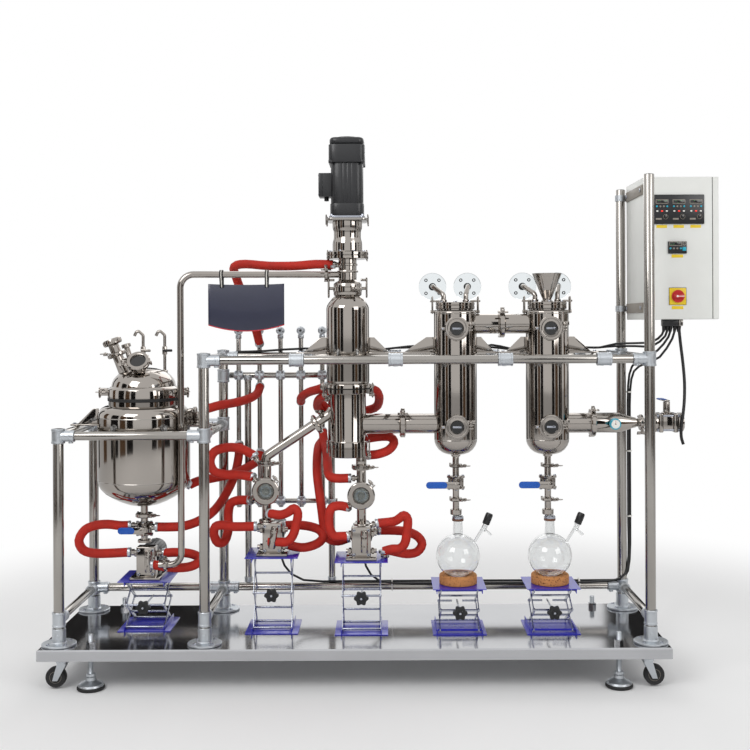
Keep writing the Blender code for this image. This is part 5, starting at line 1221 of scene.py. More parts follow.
def finish_vacuum_line(parts, x, y):
    """Pipe, clamp, gauge, cone and three-piece valve on the right of the second trap."""
    z = VAPOUR_Z
    parts += [rod((x, y, z), (0.885, y, z), 0.038, STEEL, 0.001, 48),
              turned([(0.038, -0.001), (0.0375, 0.004), (0.022, 0.052), (0.018, 0.067), (0, 0.067)],
                     STEEL, (0.885, y, z), RIGHT, 56),
              turned([(0.038, -0.01), (0.051, -0.009), (0.053, -0.006), (0.053, 0.006), (0.051, 0.009),
                      (0.038, 0.01)], STEEL, (0.786, y, z), RIGHT, 64)]
    parts += pipe_clamp((0.786, y, z), RIGHT, 0.0528, (0, -0.35, 0.95), 0.016)
    parts += [rod((0.945, y, z), (1.012, y, z), 0.016, STEEL, 0.0005),
              turned([(0.016, -0.007), (0.029, -0.006), (0.03, -0.004), (0.03, 0.004), (0.029, 0.006),
                      (0.016, 0.007)], STEEL, (0.972, y, z), RIGHT, 48)]
    parts += pipe_clamp((0.972, y, z), RIGHT, 0.031, (0, -0.8, -0.6), 0.012)
    parts += [rod((0.862, y - 0.028, z), (0.862, y - 0.058, z), 0.0135, STEEL),
              turned([(0, -0.012), (0.0205, -0.012), (0.021, -0.01), (0.021, 0.006), (0.02, 0.01),
                      (0.0172, 0.0105), (0.0165, 0.008), (0, 0.008)], "cyan_plastic",
                     (0.862, y - 0.058, z), FRONT, 48),
              turned([(0, 0.0078), (0.0166, 0.0078), (0.0166, 0.0088), (0, 0.0088)], "gauge_face",
                     (0.862, y - 0.058, z), FRONT, 40)]
    parts += [turned([(0, 0.0088), (0.0022, 0.0088), (0.0018, 0.01), (0, 0.0102)], "black_plastic",
                     (0.862, y - 0.058, z), FRONT, 16),
              slab((0.8614, y - 0.0676, z - 0.002), (0.8626, y - 0.0668, z + 0.013), "switch_red", 0.0003)]
    centre = 1.07
    parts += [slab((1.044, y - 0.029, z - 0.031), (1.096, y + 0.029, z + 0.031), STEEL, 0.01, 4)]
    for start in (1.034, 1.09):
        parts.append(slab((start, y - 0.036, z - 0.036), (start + 0.016, y + 0.036, z + 0.036), STEEL,
                          0.004, 3))
    for place in (1.021, 1.119):
        parts.append(turned([(0, -0.013), (0.03, -0.013), (0.036, -0.01), (0.037, -0.006), (0.037, 0.006),
                             (0.036, 0.01), (0.03, 0.013), (0, 0.013)], STEEL, (place, y, z), RIGHT, 48))
    for a, b in CORNERS:
        spot = Vector((0, y + a * 0.027, z + b * 0.027))
        parts.append(rod((1.026, spot.y, spot.z), (1.114, spot.y, spot.z), 0.0042, BRIGHT, 0.0006, 14))
        for start in (1.0275, 1.1055):
            parts.append(rod((start, spot.y, spot.z), (start + 0.0065, spot.y, spot.z), 0.0075, BRIGHT,
                             0.001, 6))
    parts += [rod((centre, y, z + 0.028), (centre, y, z + 0.0795), 0.013, STEEL, 0.001, 32),
              turned([(0.013, 0.03), (0.02, 0.031), (0.02, 0.038), (0.013, 0.041)], STEEL, (centre, y, z))]


def finish_levers():
    """The four blue valve levers."""
    lever_piece("reactor_valve_lever", (REACTOR_X, -0.0444, 0.531), 0.092, FRONT, "reactor_lever")
    for number, x in enumerate(TRAPS_X, 1):
        lever_piece(f"trap_{number}_valve_lever", (x, -0.0764, 0.705), 0.115, FRONT, f"trap_{number}_lever")
    lever_piece("vacuum_valve_lever", (1.07, COLUMN_Y, 1.0164), 0.115, UP, "vacuum_lever")


# Pumps and jacks

def finish_pumps():
    """Three gear pumps with their motors, and the sight tees that stand on two of them."""
    for name, (x, y, seat) in PUMPS.items():
        z = seat + 0.0004
        parts = [slab((x - 0.058, y - 0.08, z), (x + 0.058, y + 0.08, z + 0.01), STEEL, 0.0015),
                 slab((x - 0.036, y - 0.062, z + 0.008), (x + 0.036, y - 0.01, z + 0.124), STEEL, 0.004, 3),
                 rod((x, y - 0.014, z + 0.08), (x, y + 0.026, z + 0.08), 0.042, "pump_paint", 0.004, 48),
                 rod((x, y + 0.02, z + 0.078), (x, y + 0.15, z + 0.078), 0.04, PAINT, 0.004, 48),
                 slab((x - 0.03, y + 0.04, z + 0.008), (x + 0.03, y + 0.13, z + 0.046), PAINT, 0.004)]
        for number in range(20):
            angle = 2 * math.pi * number / 20
            out = Vector((math.cos(angle), 0, math.sin(angle)))
            parts.append(slab_along(Vector((x, y + 0.088, z + 0.078)) + out * 0.0415, out,
                                    Vector((-out.z, 0, out.x)), (0.005, 0.0022, 0.094), PAINT))
        for a, b in CORNERS:
            spot = (x + a * 0.027, z + 0.066 + b * 0.046)
            parts.append(rod((spot[0], y - 0.0615, spot[1]), (spot[0], y - 0.0675, spot[1]), 0.0058, BRIGHT,
                             0.001, 16))
            # Painted shade: a near-black hexagon in each screw head stands for the shade inside its socket
            parts.append(rod((spot[0], y - 0.067, spot[1]), (spot[0], y - 0.0677, spot[1]), 0.003,
                             "dark_bore", 0.0002, 6))
        lean = 0.013 if name == "residue" else 0.0
        foot = Vector((x + 0.012 - lean, y - 0.068, z + 0.03))
        head = Vector((x + 0.012, y - 0.068, z + 0.112))
        way = (head - foot).normalized()
        parts += [rod(foot, head, 0.0138, STEEL, 0.002, 32),
                  rod(foot + way * 0.004, foot + way * 0.03, 0.015, STEEL, 0.002, 6),
                  rod(foot + way * 0.058, foot + way * 0.07, 0.015, STEEL, 0.002, 24)]
        for side in SIDES:
            for height in ((0.03, 0.095) if name != "feed" else (0.095,)):
                spot = Vector((x + side * 0.034, y - 0.036, z + height))
                tip = spot + Vector((side * 0.024, 0, 0))
                parts.append(rod(spot, tip, 0.0085, STEEL))
                parts.append(hexagon(spot + Vector((side * 0.004, 0, 0)),
                                     spot + Vector((side * 0.014, 0, 0)), 0.013, STEEL))
        if name != "feed":
            tee_x, top, middle = (-0.461, 0.785, 0.681) if name == "residue" else (-0.097, 0.77, 0.666)
            parts += [turned([(0, top - 0.009), (0.033, top - 0.0088), (0.034, top - 0.007),
                              (0.034, top - 0.0015), (0.033, top), (0, top)], STEEL, (tee_x, y, 0), UP,
                             48),
                      rod((tee_x, y, top - 0.005), (tee_x, y, z + 0.12), 0.018, STEEL, 0.0006, 40),
                      turned([(0.018, z + 0.112), (0.029, z + 0.1125), (0.03, z + 0.1145),
                              (0.03, z + 0.1255), (0.029, z + 0.1275), (0.018, z + 0.128)], STEEL,
                             (tee_x, y, 0), UP, 48),
                      rod((tee_x, y - 0.034, middle), (tee_x, y + 0.03, middle), 0.04, STEEL, 0.003,
                          56),
                      turned([(0.028, 0.002), (0.03, 0.005), (0.034, 0.0088), (0.048, 0.009),
                              (0.051, 0.007), (0.052, 0.004), (0.052, -0.004), (0.051, -0.007),
                              (0.048, -0.009), (0.028, -0.009)], STEEL, (tee_x, y - 0.036, middle),
                             FRONT, 72),
                      turned([(0, 0.0005), (0.029, 0.0005), (0.029, 0.0025), (0, 0.0025)],
                             "sight_glass", (tee_x, y - 0.036, middle), FRONT, 48),
                      # Painted shade: a near-black disc behind the glass stands for the shade inside the
                      # tee
                      turned([(0, -0.006), (0.0285, -0.006), (0.0285, -0.004), (0, -0.004)],
                             "dark_bore", (tee_x, y - 0.036, middle), FRONT, 48),
                      turned([(0.0165, -0.0038), (0.0205, -0.0038), (0.0205, -0.001), (0.0165, -0.001),
                              (0.0165, -0.0038)], BRIGHT, (tee_x, y - 0.036, middle), FRONT, 40)]
            parts += tri_clamp((tee_x, y), top + 0.0002, 0.035, (0.9, -0.5, 0), 0.014)
            parts += pipe_clamp((tee_x, y - 0.036, middle), FRONT, 0.0525, (0.75, 0, 0.7), 0.014)
        joined(f"{name}_pump_piece", parts, "frame", [f"{name}_pump"])


def jack_plate(x, y, z, turn, gap):
    sheet = 0.0025
    low, high = sorted((z, z + turn * sheet))
    half = JACK_PLATE / 2
    parts = [slab((x - half, y - half, low), (x + half, y + half, high), "jack_enamel", 0.0009)]
    low, high = sorted((z + turn * 0.001, z + turn * 0.018))
    for side in SIDES:
        edge = x + side * (JACK_SPREAD + 0.0015 + gap)
        near, far = sorted((edge, edge + side * sheet))
        parts.append(slab((near, y - half * 0.96, low), (far, y + half * 0.96, high), "jack_enamel",
                          0.0009))
    return parts


def jack_arm(x, start, end):
    """One flat arm with round ends between two pivots."""
    start, end = Vector((0, *start)), Vector((0, *end))
    length = (end - start).length
    made = rounded_strip(Vector((-0.0015, -0.007, -length / 2 - 0.007)),
                         Vector((0.0015, 0.007, length / 2 + 0.007)), 0, BRIGHT, 0.0005)
    angle = math.atan2(-(end - start).y, (end - start).z)
    made.rotation_mode = "XYZ"
    made.rotation_euler = (angle, 0, 0)
    made.location = Vector((x, 0, 0)) + (start + end) / 2
    alone(made)
    bpy.ops.object.transform_apply()
    return [made]


def star_knob(x, y, z):
    """Six-lobed moulded knob with a raised hub and a steel cap, seen from the front."""
    lobes = shaped(lambda angle: 0.0245 + 0.0032 * math.cos(6 * angle), -0.008, 0.008, "knob_black",
                   (x, y, z), FRONT, 0.0022, 60)
    hub = turned([(0, 0.012), (0.009, 0.0115), (0.0105, 0.01), (0.0115, 0.006), (0.0115, 0)],
                 "knob_black", (x, y, z), FRONT, 32)
    cap = turned([(0, 0.013), (0.004, 0.0125), (0.0045, 0.0115), (0.0045, 0.01)], BRIGHT, (x, y, z),
                 FRONT, 24)
    return [lobes, hub, cap]


def finish_pump_jacks():
    """The three scissor jacks under the pumps."""
    for name, (x, y, top) in PUMPS.items():
        low, high = 0.166, top - 0.011
        middle = (low + high) / 2
        run = math.sqrt(JACK_ARM ** 2 - (middle - low) ** 2)
        front, rear = y - run / 2, y + run / 2
        parts = jack_plate(x, y, DECK_TOP + 0.0004, 1, -0.0004) + jack_plate(x, y, top, -1, -0.0004)
        for bottom, upper in ((low, middle), (middle, high)):
            for inset, start, end in ((0.0, front, rear), (0.0034, rear, front)):
                for side in SIDES:
                    parts += jack_arm(x + side * (JACK_SPREAD - inset), (start, bottom), (end, upper))
            parts.append(rod((x - 0.073, y, (bottom + upper) / 2), (x + 0.073, y, (bottom + upper) / 2),
                             0.004, BRIGHT, 0.0008, 16))
        for rod_y in (front, rear):
            for z in (low, middle, high):
                parts.append(rod((x - 0.0765, rod_y, z), (x + 0.0765, rod_y, z), 0.004, BRIGHT, 0.0008, 16))
        parts += star_knob(x, front - 0.04, middle)
        parts.append(rod((x, front - 0.036, middle), (x, rear + 0.012, middle), 0.0035, BRIGHT, 0.0005, 14))
        parts.append(slab((x - 0.01, front - 0.008, middle - 0.008),
                          (x + 0.01, front + 0.008, middle + 0.008), "knob_black", 0.001))
        joined(f"{name}_jack_piece", parts, "frame", [f"{name}_pump_jack"])


def finish_flask_jacks():
    """The two working jacks keep their solids; their knobs and screws are made fine."""
    for number, x in enumerate(FLASKS_X, 1):
        for part in ("base", "top"):
            dress(f"flask_{number}_jack_{part}", "jack_enamel")
        for part in ("lower_arms_a", "lower_arms_b", "upper_arms_a", "upper_arms_b"):
            dress(f"flask_{number}_jack_{part}", BRIGHT)
        front, middle = -0.11084, 0.24035
        parts = star_knob(x, front - 0.04, middle)
        parts.append(rod((x, front - 0.036, middle), (x, 0.0428, middle), 0.0035, BRIGHT, 0.0005, 14))
        parts.append(slab((x - 0.01, front - 0.008, middle - 0.008),
                          (x + 0.01, front + 0.008, middle + 0.008), "knob_black", 0.001))
        joined(f"flask_jack_knob_{number}", parts, f"jack_{number}_screw",
               [f"flask_{number}_jack_screw"])


def finish_flasks():
    """Round glass flasks with a side stopcock, on turned cork rings."""
    for number, x in enumerate(FLASKS_X, 1):
        y, centre, radius, wall = COLUMN_Y, 0.4306, 0.0837, 0.003
        outside, inside = [], []
        for step in range(33):
            angle = math.radians(-90 + step * (166.5 / 32))
            outside.append((radius * math.cos(angle), centre + radius * math.sin(angle)))
            angle = math.radians(-90 + step * (168.5 / 32))
            inside.append(((radius - wall) * math.cos(angle), centre + (radius - wall) * math.sin(angle)))
        outside[0], inside[0] = (0, centre - radius), (0, centre - radius + wall)
        mouth = [(0.019, 0.52), (0.0176, 0.555), (0.0172, 0.565), (0.0172, 0.578), (0.0186, 0.5805),
                 (0.0186, 0.5832), (0.0178, 0.5838), (0.0145, 0.5838), (0.014, 0.58), (0.0142, 0.555),
                 (0.0156, 0.52)]
        shell = turned(outside + mouth + inside[::-1], "flask_glass", (x, y, 0), UP, 72)
        shoulder, end = Vector((x + 0.0635, y, 0.4785)), Vector((x + 0.104, y, 0.545))
        way = Vector((0.0175, 0, 0.044)).normalized()
        side = end - way * 0.014
        parts = [shell, tube([shoulder, (shoulder + end) / 2, end], 0.0075, "flask_glass"),
                 turned([(0, -0.022), (0.009, -0.022), (0.01, -0.018), (0.01, 0.004), (0.009, 0.006),
                         (0, 0.006)], "flask_glass", end, way, 40),
                 turned([(0, 0.006), (0.013, 0.006), (0.0145, 0.008), (0.0136, 0.012), (0.0145, 0.016),
                         (0.0136, 0.02), (0.0145, 0.024), (0.0142, 0.044), (0.012, 0.0495),
                         (0, 0.0505)], "black_plastic", end, way, 40),
                 tube([side, side + Vector((0.01, 0, -0.008)), Vector((x + 0.127, y, 0.507))], 0.005,
                      "flask_glass"),
                 turned([(0.0172, 0.563), (0.021, 0.5636), (0.022, 0.565), (0.022, 0.572),
                         (0.0172, 0.5722)], "joint_seal", (x, y, 0), UP, 48),
                 turned([(0.0172, 0.5722), (0.0214, 0.5724), (0.022, 0.574), (0.022, 0.579),
                         (0.0205, 0.5806), (0.0172, 0.5808)], BRIGHT, (x, y, 0), UP, 48)]
        joined(f"flask_{number}_piece", parts, f"jack_{number}_top", [f"receiving_flask_{number}"])
        low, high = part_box(f"cork_ring_{number}")
        z0, z1 = low.z, high.z
        ring = turned([(0.036, z0), (0.07, z0), (0.0718, z0 + 0.002), (0.0718, z1 - 0.0045),
                       (0.07, z1 - 0.001), (0.066, z1), (0.05, z1), (0.0476, z1 - 0.001),
                       (0.045, z1 - 0.007), (0.04, z1 - 0.018), (0.036, z0 + 0.01), (0.036, z0)],
                      "cork", (x, y, 0), UP, 72)
        joined(f"cork_{number}_piece", [ring], f"jack_{number}_top", [f"cork_ring_{number}"])


# Hose routes: where each hose passes, as read from the picture

HOSES = {
    "neck_supply": [
        (-0.202, -0.04, 1.544), (-0.268, -0.035, 1.546), (-0.345, -0.02, 1.541), (-0.45, 0.02, 1.543),
        (-0.548, 0.06, 1.553), (-0.598, 0.1, 1.545), (-0.599, 0.15, 1.508), (-0.57, 0.2, 1.413),
        (-0.534, 0.235, 1.308), (-0.519, 0.262, 1.238)],
    "reactor_jacket_upper": [
        (-0.699, 0.0, 0.99), (-0.645, 0.03, 1.004), (-0.595, 0.09, 1.009), (-0.549, 0.16, 1.02),
        (-0.524, 0.22, 1.036), (-0.518, 0.262, 1.062)],
    "evaporator_jacket_left": [
        (-0.233, 0.03, 1.075), (-0.267, 0.07, 1.061), (-0.311, 0.14, 1.045), (-0.344, 0.21, 1.02),
        (-0.35, 0.262, 1.0)],
    "evaporator_joint_left": [
        (-0.214, 0.03, 1.029), (-0.243, 0.07, 1.034), (-0.271, 0.14, 1.013), (-0.279, 0.21, 0.98),
        (-0.262, 0.262, 0.955)],
    "evaporator_jacket_right": [
        (-0.069, 0.0, 1.066), (-0.039, 0.03, 1.056), (-0.028, 0.08, 1.021), (-0.048, 0.14, 0.981),
        (-0.137, 0.2, 0.96), (-0.228, 0.24, 0.965), (-0.261, 0.262, 0.988)],
    "residue_leg_loop": [
        (-0.508, -0.032, 0.816), (-0.558, -0.04, 0.843), (-0.61, -0.05, 0.848),
        (-0.654, -0.06, 0.834), (-0.671, -0.06, 0.796), (-0.655, -0.055, 0.757),
        (-0.61, -0.05, 0.745), (-0.565, -0.04, 0.743), (-0.513, -0.036, 0.734)],
    "reactor_valve_return": [
        (-0.883, -0.019, 0.541), (-0.829, -0.02, 0.541), (-0.775, -0.02, 0.545), (-0.717, 0.0, 0.564),
        (-0.671, 0.05, 0.594), (-0.635, 0.12, 0.65), (-0.611, 0.18, 0.713), (-0.602, 0.23, 0.779),
        (-0.604, 0.262, 0.824)],
    "reactor_jacket_lower": [
        (-0.765, 0.03, 0.695), (-0.734, 0.05, 0.707), (-0.678, 0.09, 0.713), (-0.614, 0.14, 0.722),
        (-0.558, 0.2, 0.742), (-0.526, 0.24, 0.761), (-0.518, 0.262, 0.791)],
    "residue_pump_left": [
        (-0.523, -0.031, 0.644), (-0.569, -0.01, 0.641), (-0.602, 0.0, 0.626), (-0.613, 0.01, 0.582),
        (-0.611, 0.0, 0.53), (-0.622, -0.02, 0.487), (-0.644, -0.05, 0.486), (-0.655, -0.075, 0.521),
        (-0.647, -0.09, 0.554), (-0.618, -0.095, 0.561), (-0.577, -0.09, 0.554),
        (-0.497, -0.084, 0.554)],
    "residue_pump_right_front": [
        (-0.445, -0.06, 0.598), (-0.405, -0.075, 0.595), (-0.374, -0.085, 0.606),
        (-0.351, -0.09, 0.622), (-0.336, -0.09, 0.603), (-0.342, -0.09, 0.562),
        (-0.355, -0.09, 0.52), (-0.378, -0.085, 0.495), (-0.412, -0.08, 0.494),
        (-0.449, -0.075, 0.494)],
    "residue_pump_right_rear": [
        (-0.395, 0.02, 0.537), (-0.349, 0.02, 0.539), (-0.298, 0.02, 0.533), (-0.26, 0.02, 0.518),
        (-0.247, 0.01, 0.493), (-0.269, -0.01, 0.472), (-0.315, -0.02, 0.46), (-0.356, -0.03, 0.466),
        (-0.393, -0.04, 0.48)],
    "distillate_pump_supply": [
        (-0.261, 0.262, 0.841), (-0.275, 0.2, 0.823), (-0.276, 0.12, 0.784), (-0.272, 0.06, 0.729),
        (-0.262, 0.03, 0.664), (-0.252, 0.02, 0.595), (-0.244, 0.02, 0.533), (-0.229, 0.03, 0.485),
        (-0.191, 0.05, 0.469), (-0.153, 0.06, 0.479)],
    "sight_tee_supply": [
        (-0.141, -0.04, 0.728), (-0.195, -0.04, 0.728), (-0.221, -0.02, 0.737), (-0.23, 0.04, 0.771),
        (-0.238, 0.12, 0.808), (-0.251, 0.2, 0.831), (-0.261, 0.262, 0.877)],
    "distillate_pump_left": [
        (-0.15, -0.06, 0.621), (-0.182, -0.07, 0.628), (-0.21, -0.08, 0.62),
        (-0.219, -0.085, 0.587), (-0.217, -0.085, 0.546), (-0.201, -0.08, 0.516),
        (-0.174, -0.075, 0.513), (-0.146, -0.07, 0.513)],
    "distillate_pump_right_front": [
        (-0.036, -0.06, 0.559), (0.023, -0.07, 0.567), (0.045, -0.08, 0.579), (0.064, -0.085, 0.593),
        (0.079, -0.085, 0.576), (0.075, -0.085, 0.527), (0.068, -0.085, 0.489), (0.049, -0.08, 0.467),
        (0.019, -0.075, 0.464), (-0.013, -0.07, 0.454)],
    "distillate_pump_right_rear": [
        (-0.032, -0.006, 0.522), (0.031, 0.0, 0.52), (0.081, 0.0, 0.514), (0.12, 0.0, 0.495),
        (0.135, -0.01, 0.468), (0.115, -0.02, 0.441), (0.077, -0.03, 0.436), (0.038, -0.04, 0.445),
        (-0.0, -0.04, 0.454)],
    "evaporator_foot_loop": [
        (-0.069, 0.0, 0.811), (-0.031, 0.0, 0.815), (0.008, 0.01, 0.829), (0.029, 0.02, 0.855),
        (0.016, 0.035, 0.875), (-0.02, 0.05, 0.877), (-0.083, 0.036, 0.87)],
    "feed_pump_left_loop": [
        (-0.987, -0.023, 0.548), (-1.022, -0.03, 0.549), (-1.067, -0.035, 0.555),
        (-1.11, -0.045, 0.553), (-1.149, -0.055, 0.538), (-1.171, -0.06, 0.499),
        (-1.157, -0.055, 0.462), (-1.12, -0.05, 0.448), (-1.068, -0.045, 0.446),
        (-0.984, -0.04, 0.449)],
    "feed_pump_right_loop": [
        (-0.86, 0.0, 0.437), (-0.814, 0.0, 0.439), (-0.764, 0.0, 0.435), (-0.727, -0.01, 0.424),
        (-0.72, -0.03, 0.409), (-0.747, -0.05, 0.396), (-0.793, -0.07, 0.395),
        (-0.844, -0.08, 0.403), (-0.885, -0.085, 0.411)],
}

# Where the tail of each hose meets its piece, at its start and at its end

PORTS = {
    "neck_supply": ((-0.202, -0.044, 1.551), (-0.52, 0.264, 1.238)),
    "reactor_jacket_upper": ((-0.713, 0.0, 0.968), (-0.519, 0.264, 1.062)),
    "evaporator_jacket_left": ((-0.211, 0.015, 1.075), (-0.35, 0.264, 1.0)),
    "evaporator_joint_left": ((-0.207, 0.021, 1.055), (-0.262, 0.264, 0.955)),
    "evaporator_jacket_right": ((-0.07, -0.001, 1.066), (-0.262, 0.264, 0.988)),
    "residue_leg_loop": ((-0.494, -0.036, 0.794), (-0.496, -0.047, 0.717)),
    "reactor_valve_return": ((-0.909, -0.018, 0.541), (-0.605, 0.264, 0.824)),
    "reactor_jacket_lower": ((-0.773, 0.029, 0.699), (-0.519, 0.264, 0.791)),
    "residue_pump_left": ((-0.506, -0.047, 0.655), (-0.471, -0.082, 0.554)),
    "residue_pump_right_front": ((-0.455, -0.036, 0.598), (-0.449, -0.082, 0.494)),
    "residue_pump_right_rear": ((-0.4, 0.02, 0.536), (-0.399, -0.04, 0.48)),
    "distillate_pump_supply": ((-0.262, 0.264, 0.841), (-0.132, 0.06, 0.486)),
    "sight_tee_supply": ((-0.115, -0.04, 0.728), (-0.262, 0.264, 0.877)),
    "distillate_pump_left": ((-0.137, -0.067, 0.634), (-0.133, -0.07, 0.513)),
    "distillate_pump_right_front": ((-0.061, -0.06, 0.552), (-0.013, -0.07, 0.428)),
    "distillate_pump_right_rear": ((-0.057, -0.014, 0.521), (-0.0, -0.04, 0.428)),
    "evaporator_foot_loop": ((-0.081, -0.008, 0.812), (-0.098, 0.014, 0.869)),
    "feed_pump_left_loop": ((-0.961, -0.018, 0.548), (-0.958, -0.04, 0.449)),
    "feed_pump_right_loop": ((-0.882, 0.006, 0.437), (-0.86, -0.088, 0.412)),
}

# Leads: where each black cable leaves the gland block and where it lies

LEAD_RADIUS = 0.0045
RAIL_REST = 1.2076
LEADS = {
    "lead_rail_front": [
        (1.062, -0.04, 1.303), (1.056, -0.034, 1.272), (1.03, 0.016, 1.243), (0.985, 0.11, 1.236),
        (0.93, 0.2, 1.232), (0.87, 0.234, 1.2165), (0.83, 0.234, 1.2165), (0.7925, 0.234, 1.2168),
        (0.74, 0.234, 1.21), (0.6, 0.234, RAIL_REST), (0.5, 0.234, 1.215), (0.43, 0.234, 1.229),
        (0.35, 0.234, 1.212), (0.24, 0.234, 1.211), (0.14, 0.234, 1.227), (0.034, 0.234, 1.218),
        (-0.09, 0.234, RAIL_REST), (-0.3265, 0.234, 1.2175), (-0.5, 0.234, RAIL_REST),
        (-0.612, 0.238, 1.205)],
    "lead_rail_rear": [
        (1.075, -0.04, 1.303), (1.068, -0.034, 1.266), (1.034, 0.024, 1.227), (0.99, 0.12, 1.224),
        (0.93, 0.216, 1.222), (0.87, 0.246, 1.2165), (0.83, 0.246, 1.2165), (0.7925, 0.246, 1.2168),
        (0.74, 0.246, 1.21), (0.6, 0.246, RAIL_REST), (0.5, 0.246, 1.211), (0.43, 0.246, 1.219),
        (0.35, 0.246, 1.212), (0.24, 0.246, RAIL_REST), (0.14, 0.246, 1.218), (0.034, 0.246, 1.218),
        (-0.09, 0.246, RAIL_REST), (-0.3265, 0.246, 1.2175), (-0.5, 0.246, RAIL_REST),
        (-0.612, 0.242, 1.205)],
    "lead_distillate_pump": [
        (1.088, -0.04, 1.303), (1.08, -0.034, 1.262), (1.052, 0.03, 1.207), (1.02, 0.12, 1.18),
        (0.993, 0.2, 1.14), (0.985, 0.236, 1.06), (0.984, 0.24, 0.9), (0.984, 0.24, 0.7),
        (0.984, 0.24, 0.5), (0.984, 0.238, 0.37), (0.965, 0.222, 0.296), (0.9, 0.214, 0.27),
        (0.7, 0.216, 0.264), (0.4, 0.216, 0.264), (0.1, 0.216, 0.264), (-0.03, 0.212, 0.275),
        (-0.085, 0.19, 0.34), (-0.097, 0.165, 0.43), (-0.097, 0.14, 0.49), (-0.097, 0.112, 0.504)],
    "lead_residue_pump": [
        (1.104, -0.04, 1.303), (1.095, -0.034, 1.256), (1.064, 0.036, 1.183), (1.03, 0.13, 1.155),
        (1.003, 0.21, 1.12), (0.995, 0.244, 1.04), (0.994, 0.248, 0.9), (0.994, 0.248, 0.7),
        (0.994, 0.248, 0.5), (0.99, 0.244, 0.35), (0.965, 0.228, 0.282), (0.9, 0.236, 0.269),
        (0.6, 0.238, 0.269), (0.2, 0.238, 0.269), (-0.15, 0.238, 0.269), (-0.34, 0.23, 0.276),
        (-0.415, 0.208, 0.34), (-0.435, 0.185, 0.43), (-0.435, 0.162, 0.5), (-0.435, 0.132, 0.516)],
}
LOOSE_LEAD = [(1.118, -0.04, 1.303), (1.124, -0.041, 1.24), (1.132, -0.046, 1.16), (1.135, -0.055, 1.09),
              (1.129, -0.074, 1.025), (1.12, -0.088, 0.97), (1.112, -0.092, 0.92), (1.112, -0.092, 0.885),
              (1.12, -0.09, 0.858)]


def span(points):
    return sum((after - before).length for before, after in zip(points, points[1:]))


def free_run(name, points, radius, coating_name):
    """A cord that carries a round section along its points and rides on the frame."""
    made = coat(line_object(points, radius, resolution=5), coating_name)
    made.name = made.data.name = name
    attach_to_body(made, "frame")
    span(points)


def finish_hoses():
    """Sleeved heating hoses along their routes, with the steel tails and nuts at their ends."""
    tails = []
    for name, anchors in HOSES.items():
        points = flowing(anchors, 3)
        free_run(f"hose_{name}", points, HOSE_RADIUS, "hose_foam")
        for end, port in zip((points[0], points[-1]), PORTS[name]):
            way = (Vector(port) - end).normalized()
            gap = (Vector(port) - end).length
            tails.append(rod(end - way * 0.004, end + way * (gap + 0.003), 0.0085, STEEL, sides=20))
            tails.append(rod(end - way * 0.006, end + way * 0.006, 0.0186, ZINC, 0.0016, 28))
            if gap > 0.016:
                tails.append(hexagon(end + way * 0.009, end + way * min(gap, 0.02), 0.0128, STEEL))
    joined("hose_tails", tails)


def finish_leads():
    """Black leads from the gland block to the rail and the pumps, the spare lead, and their ties."""
    reliefs = []
    for name, anchors in LEADS.items():
        points = flowing(anchors, 2)
        free_run(name, points, LEAD_RADIUS, "cable_jacket")
        reliefs.append(rod(points[0] + Vector((0, 0, 0.0005)),
                           points[0] + (points[1] - points[0]).normalized() * 0.021, 0.0082,
                           "black_plastic", 0.0008, 20, LEAD_RADIUS + 0.0008))
    points = flowing(LOOSE_LEAD, 3)
    free_run("lead_spare", points, SPARE_RADIUS, "cable_jacket")
    reliefs.append(rod(points[0] + Vector((0, 0, 0.0005)), points[0] + Vector((0, 0, -0.022)), 0.0092,
                       "black_plastic", 0.0008, 20, 0.0066))
    for z in (1.0346, 0.794, 0.529):
        reliefs.append(rod((0.989, 0.244, z - 0.0025), (0.989, 0.244, z + 0.0025), 0.012,
                           "white_plastic", 0.001, 28))
    for x in (0.64, 0.18, -0.19):
        reliefs.append(rod((x - 0.0025, 0.24, 1.1925), (x + 0.0025, 0.24, 1.1925), 0.0215,
                           "white_plastic", 0.001, 32))
    for x in (0.78, 0.33, 0.02):
        reliefs.append(rod((x - 0.0025, 0.234, 0.255), (x + 0.0025, 0.234, 0.255), 0.024,
                           "white_plastic", 0.001, 32))
    joined("lead_reliefs_and_ties", reliefs)


# Feed pipe, board and heating manifold

def finish_feed_line():
    """The long bent feed pipe with a clamp near each end."""
    start, corner, end = (-0.8596, -0.1, 0.4144), (-0.774, -0.1, 1.506), Vector((-0.1811, -0.04, 1.506))
    way = (end - Vector(corner)).normalized()
    parts = [tube(bends([start, (-0.774, -0.1, 0.4144), corner, end], 0.05, 12), 0.0125, STEEL,
                  resolution=7)]
    parts += pipe_clamp((-0.8326, -0.1, 0.4144), RIGHT, 0.0245, (0, -0.5, 0.8), 0.014)
    parts += pipe_clamp(end - way * 0.047, way, 0.0245, (0, -0.5, 0.8), 0.014)
    joined("feed_line", parts, "frame", ["feed_pipe"])


def curved_sheet(left, right, low_edge, high_edge, front, thick, name):
    """An upright sheet whose foot and head follow a curve, shaped from a grid and given its thickness."""
    clear_choice()
    bpy.ops.mesh.primitive_grid_add(x_subdivisions=28, y_subdivisions=2, size=1,
                                    rotation=(math.pi / 2, 0, 0))
    made = bpy.context.active_object
    bpy.ops.object.transform_apply()
    for vertex in made.data.vertices:
        across, up = vertex.co.x * 2, vertex.co.z + 0.5
        vertex.co = (left + (right - left) * (vertex.co.x + 0.5), front,
                     low_edge(across) * (1 - up) + high_edge(across) * up)
    shell = made.modifiers.new("shell", "SOLIDIFY")
    shell.thickness, shell.offset = thick, -1.0
    alone(made)
    bpy.ops.object.modifier_apply(modifier="shell")
    bpy.ops.object.mode_set(mode="EDIT")
    bpy.ops.mesh.select_all(action="SELECT")
    bpy.ops.mesh.normals_make_consistent(inside=False)
    bpy.ops.object.mode_set(mode="OBJECT")
    soften(made, 0.0008)
    return coat(made, name)


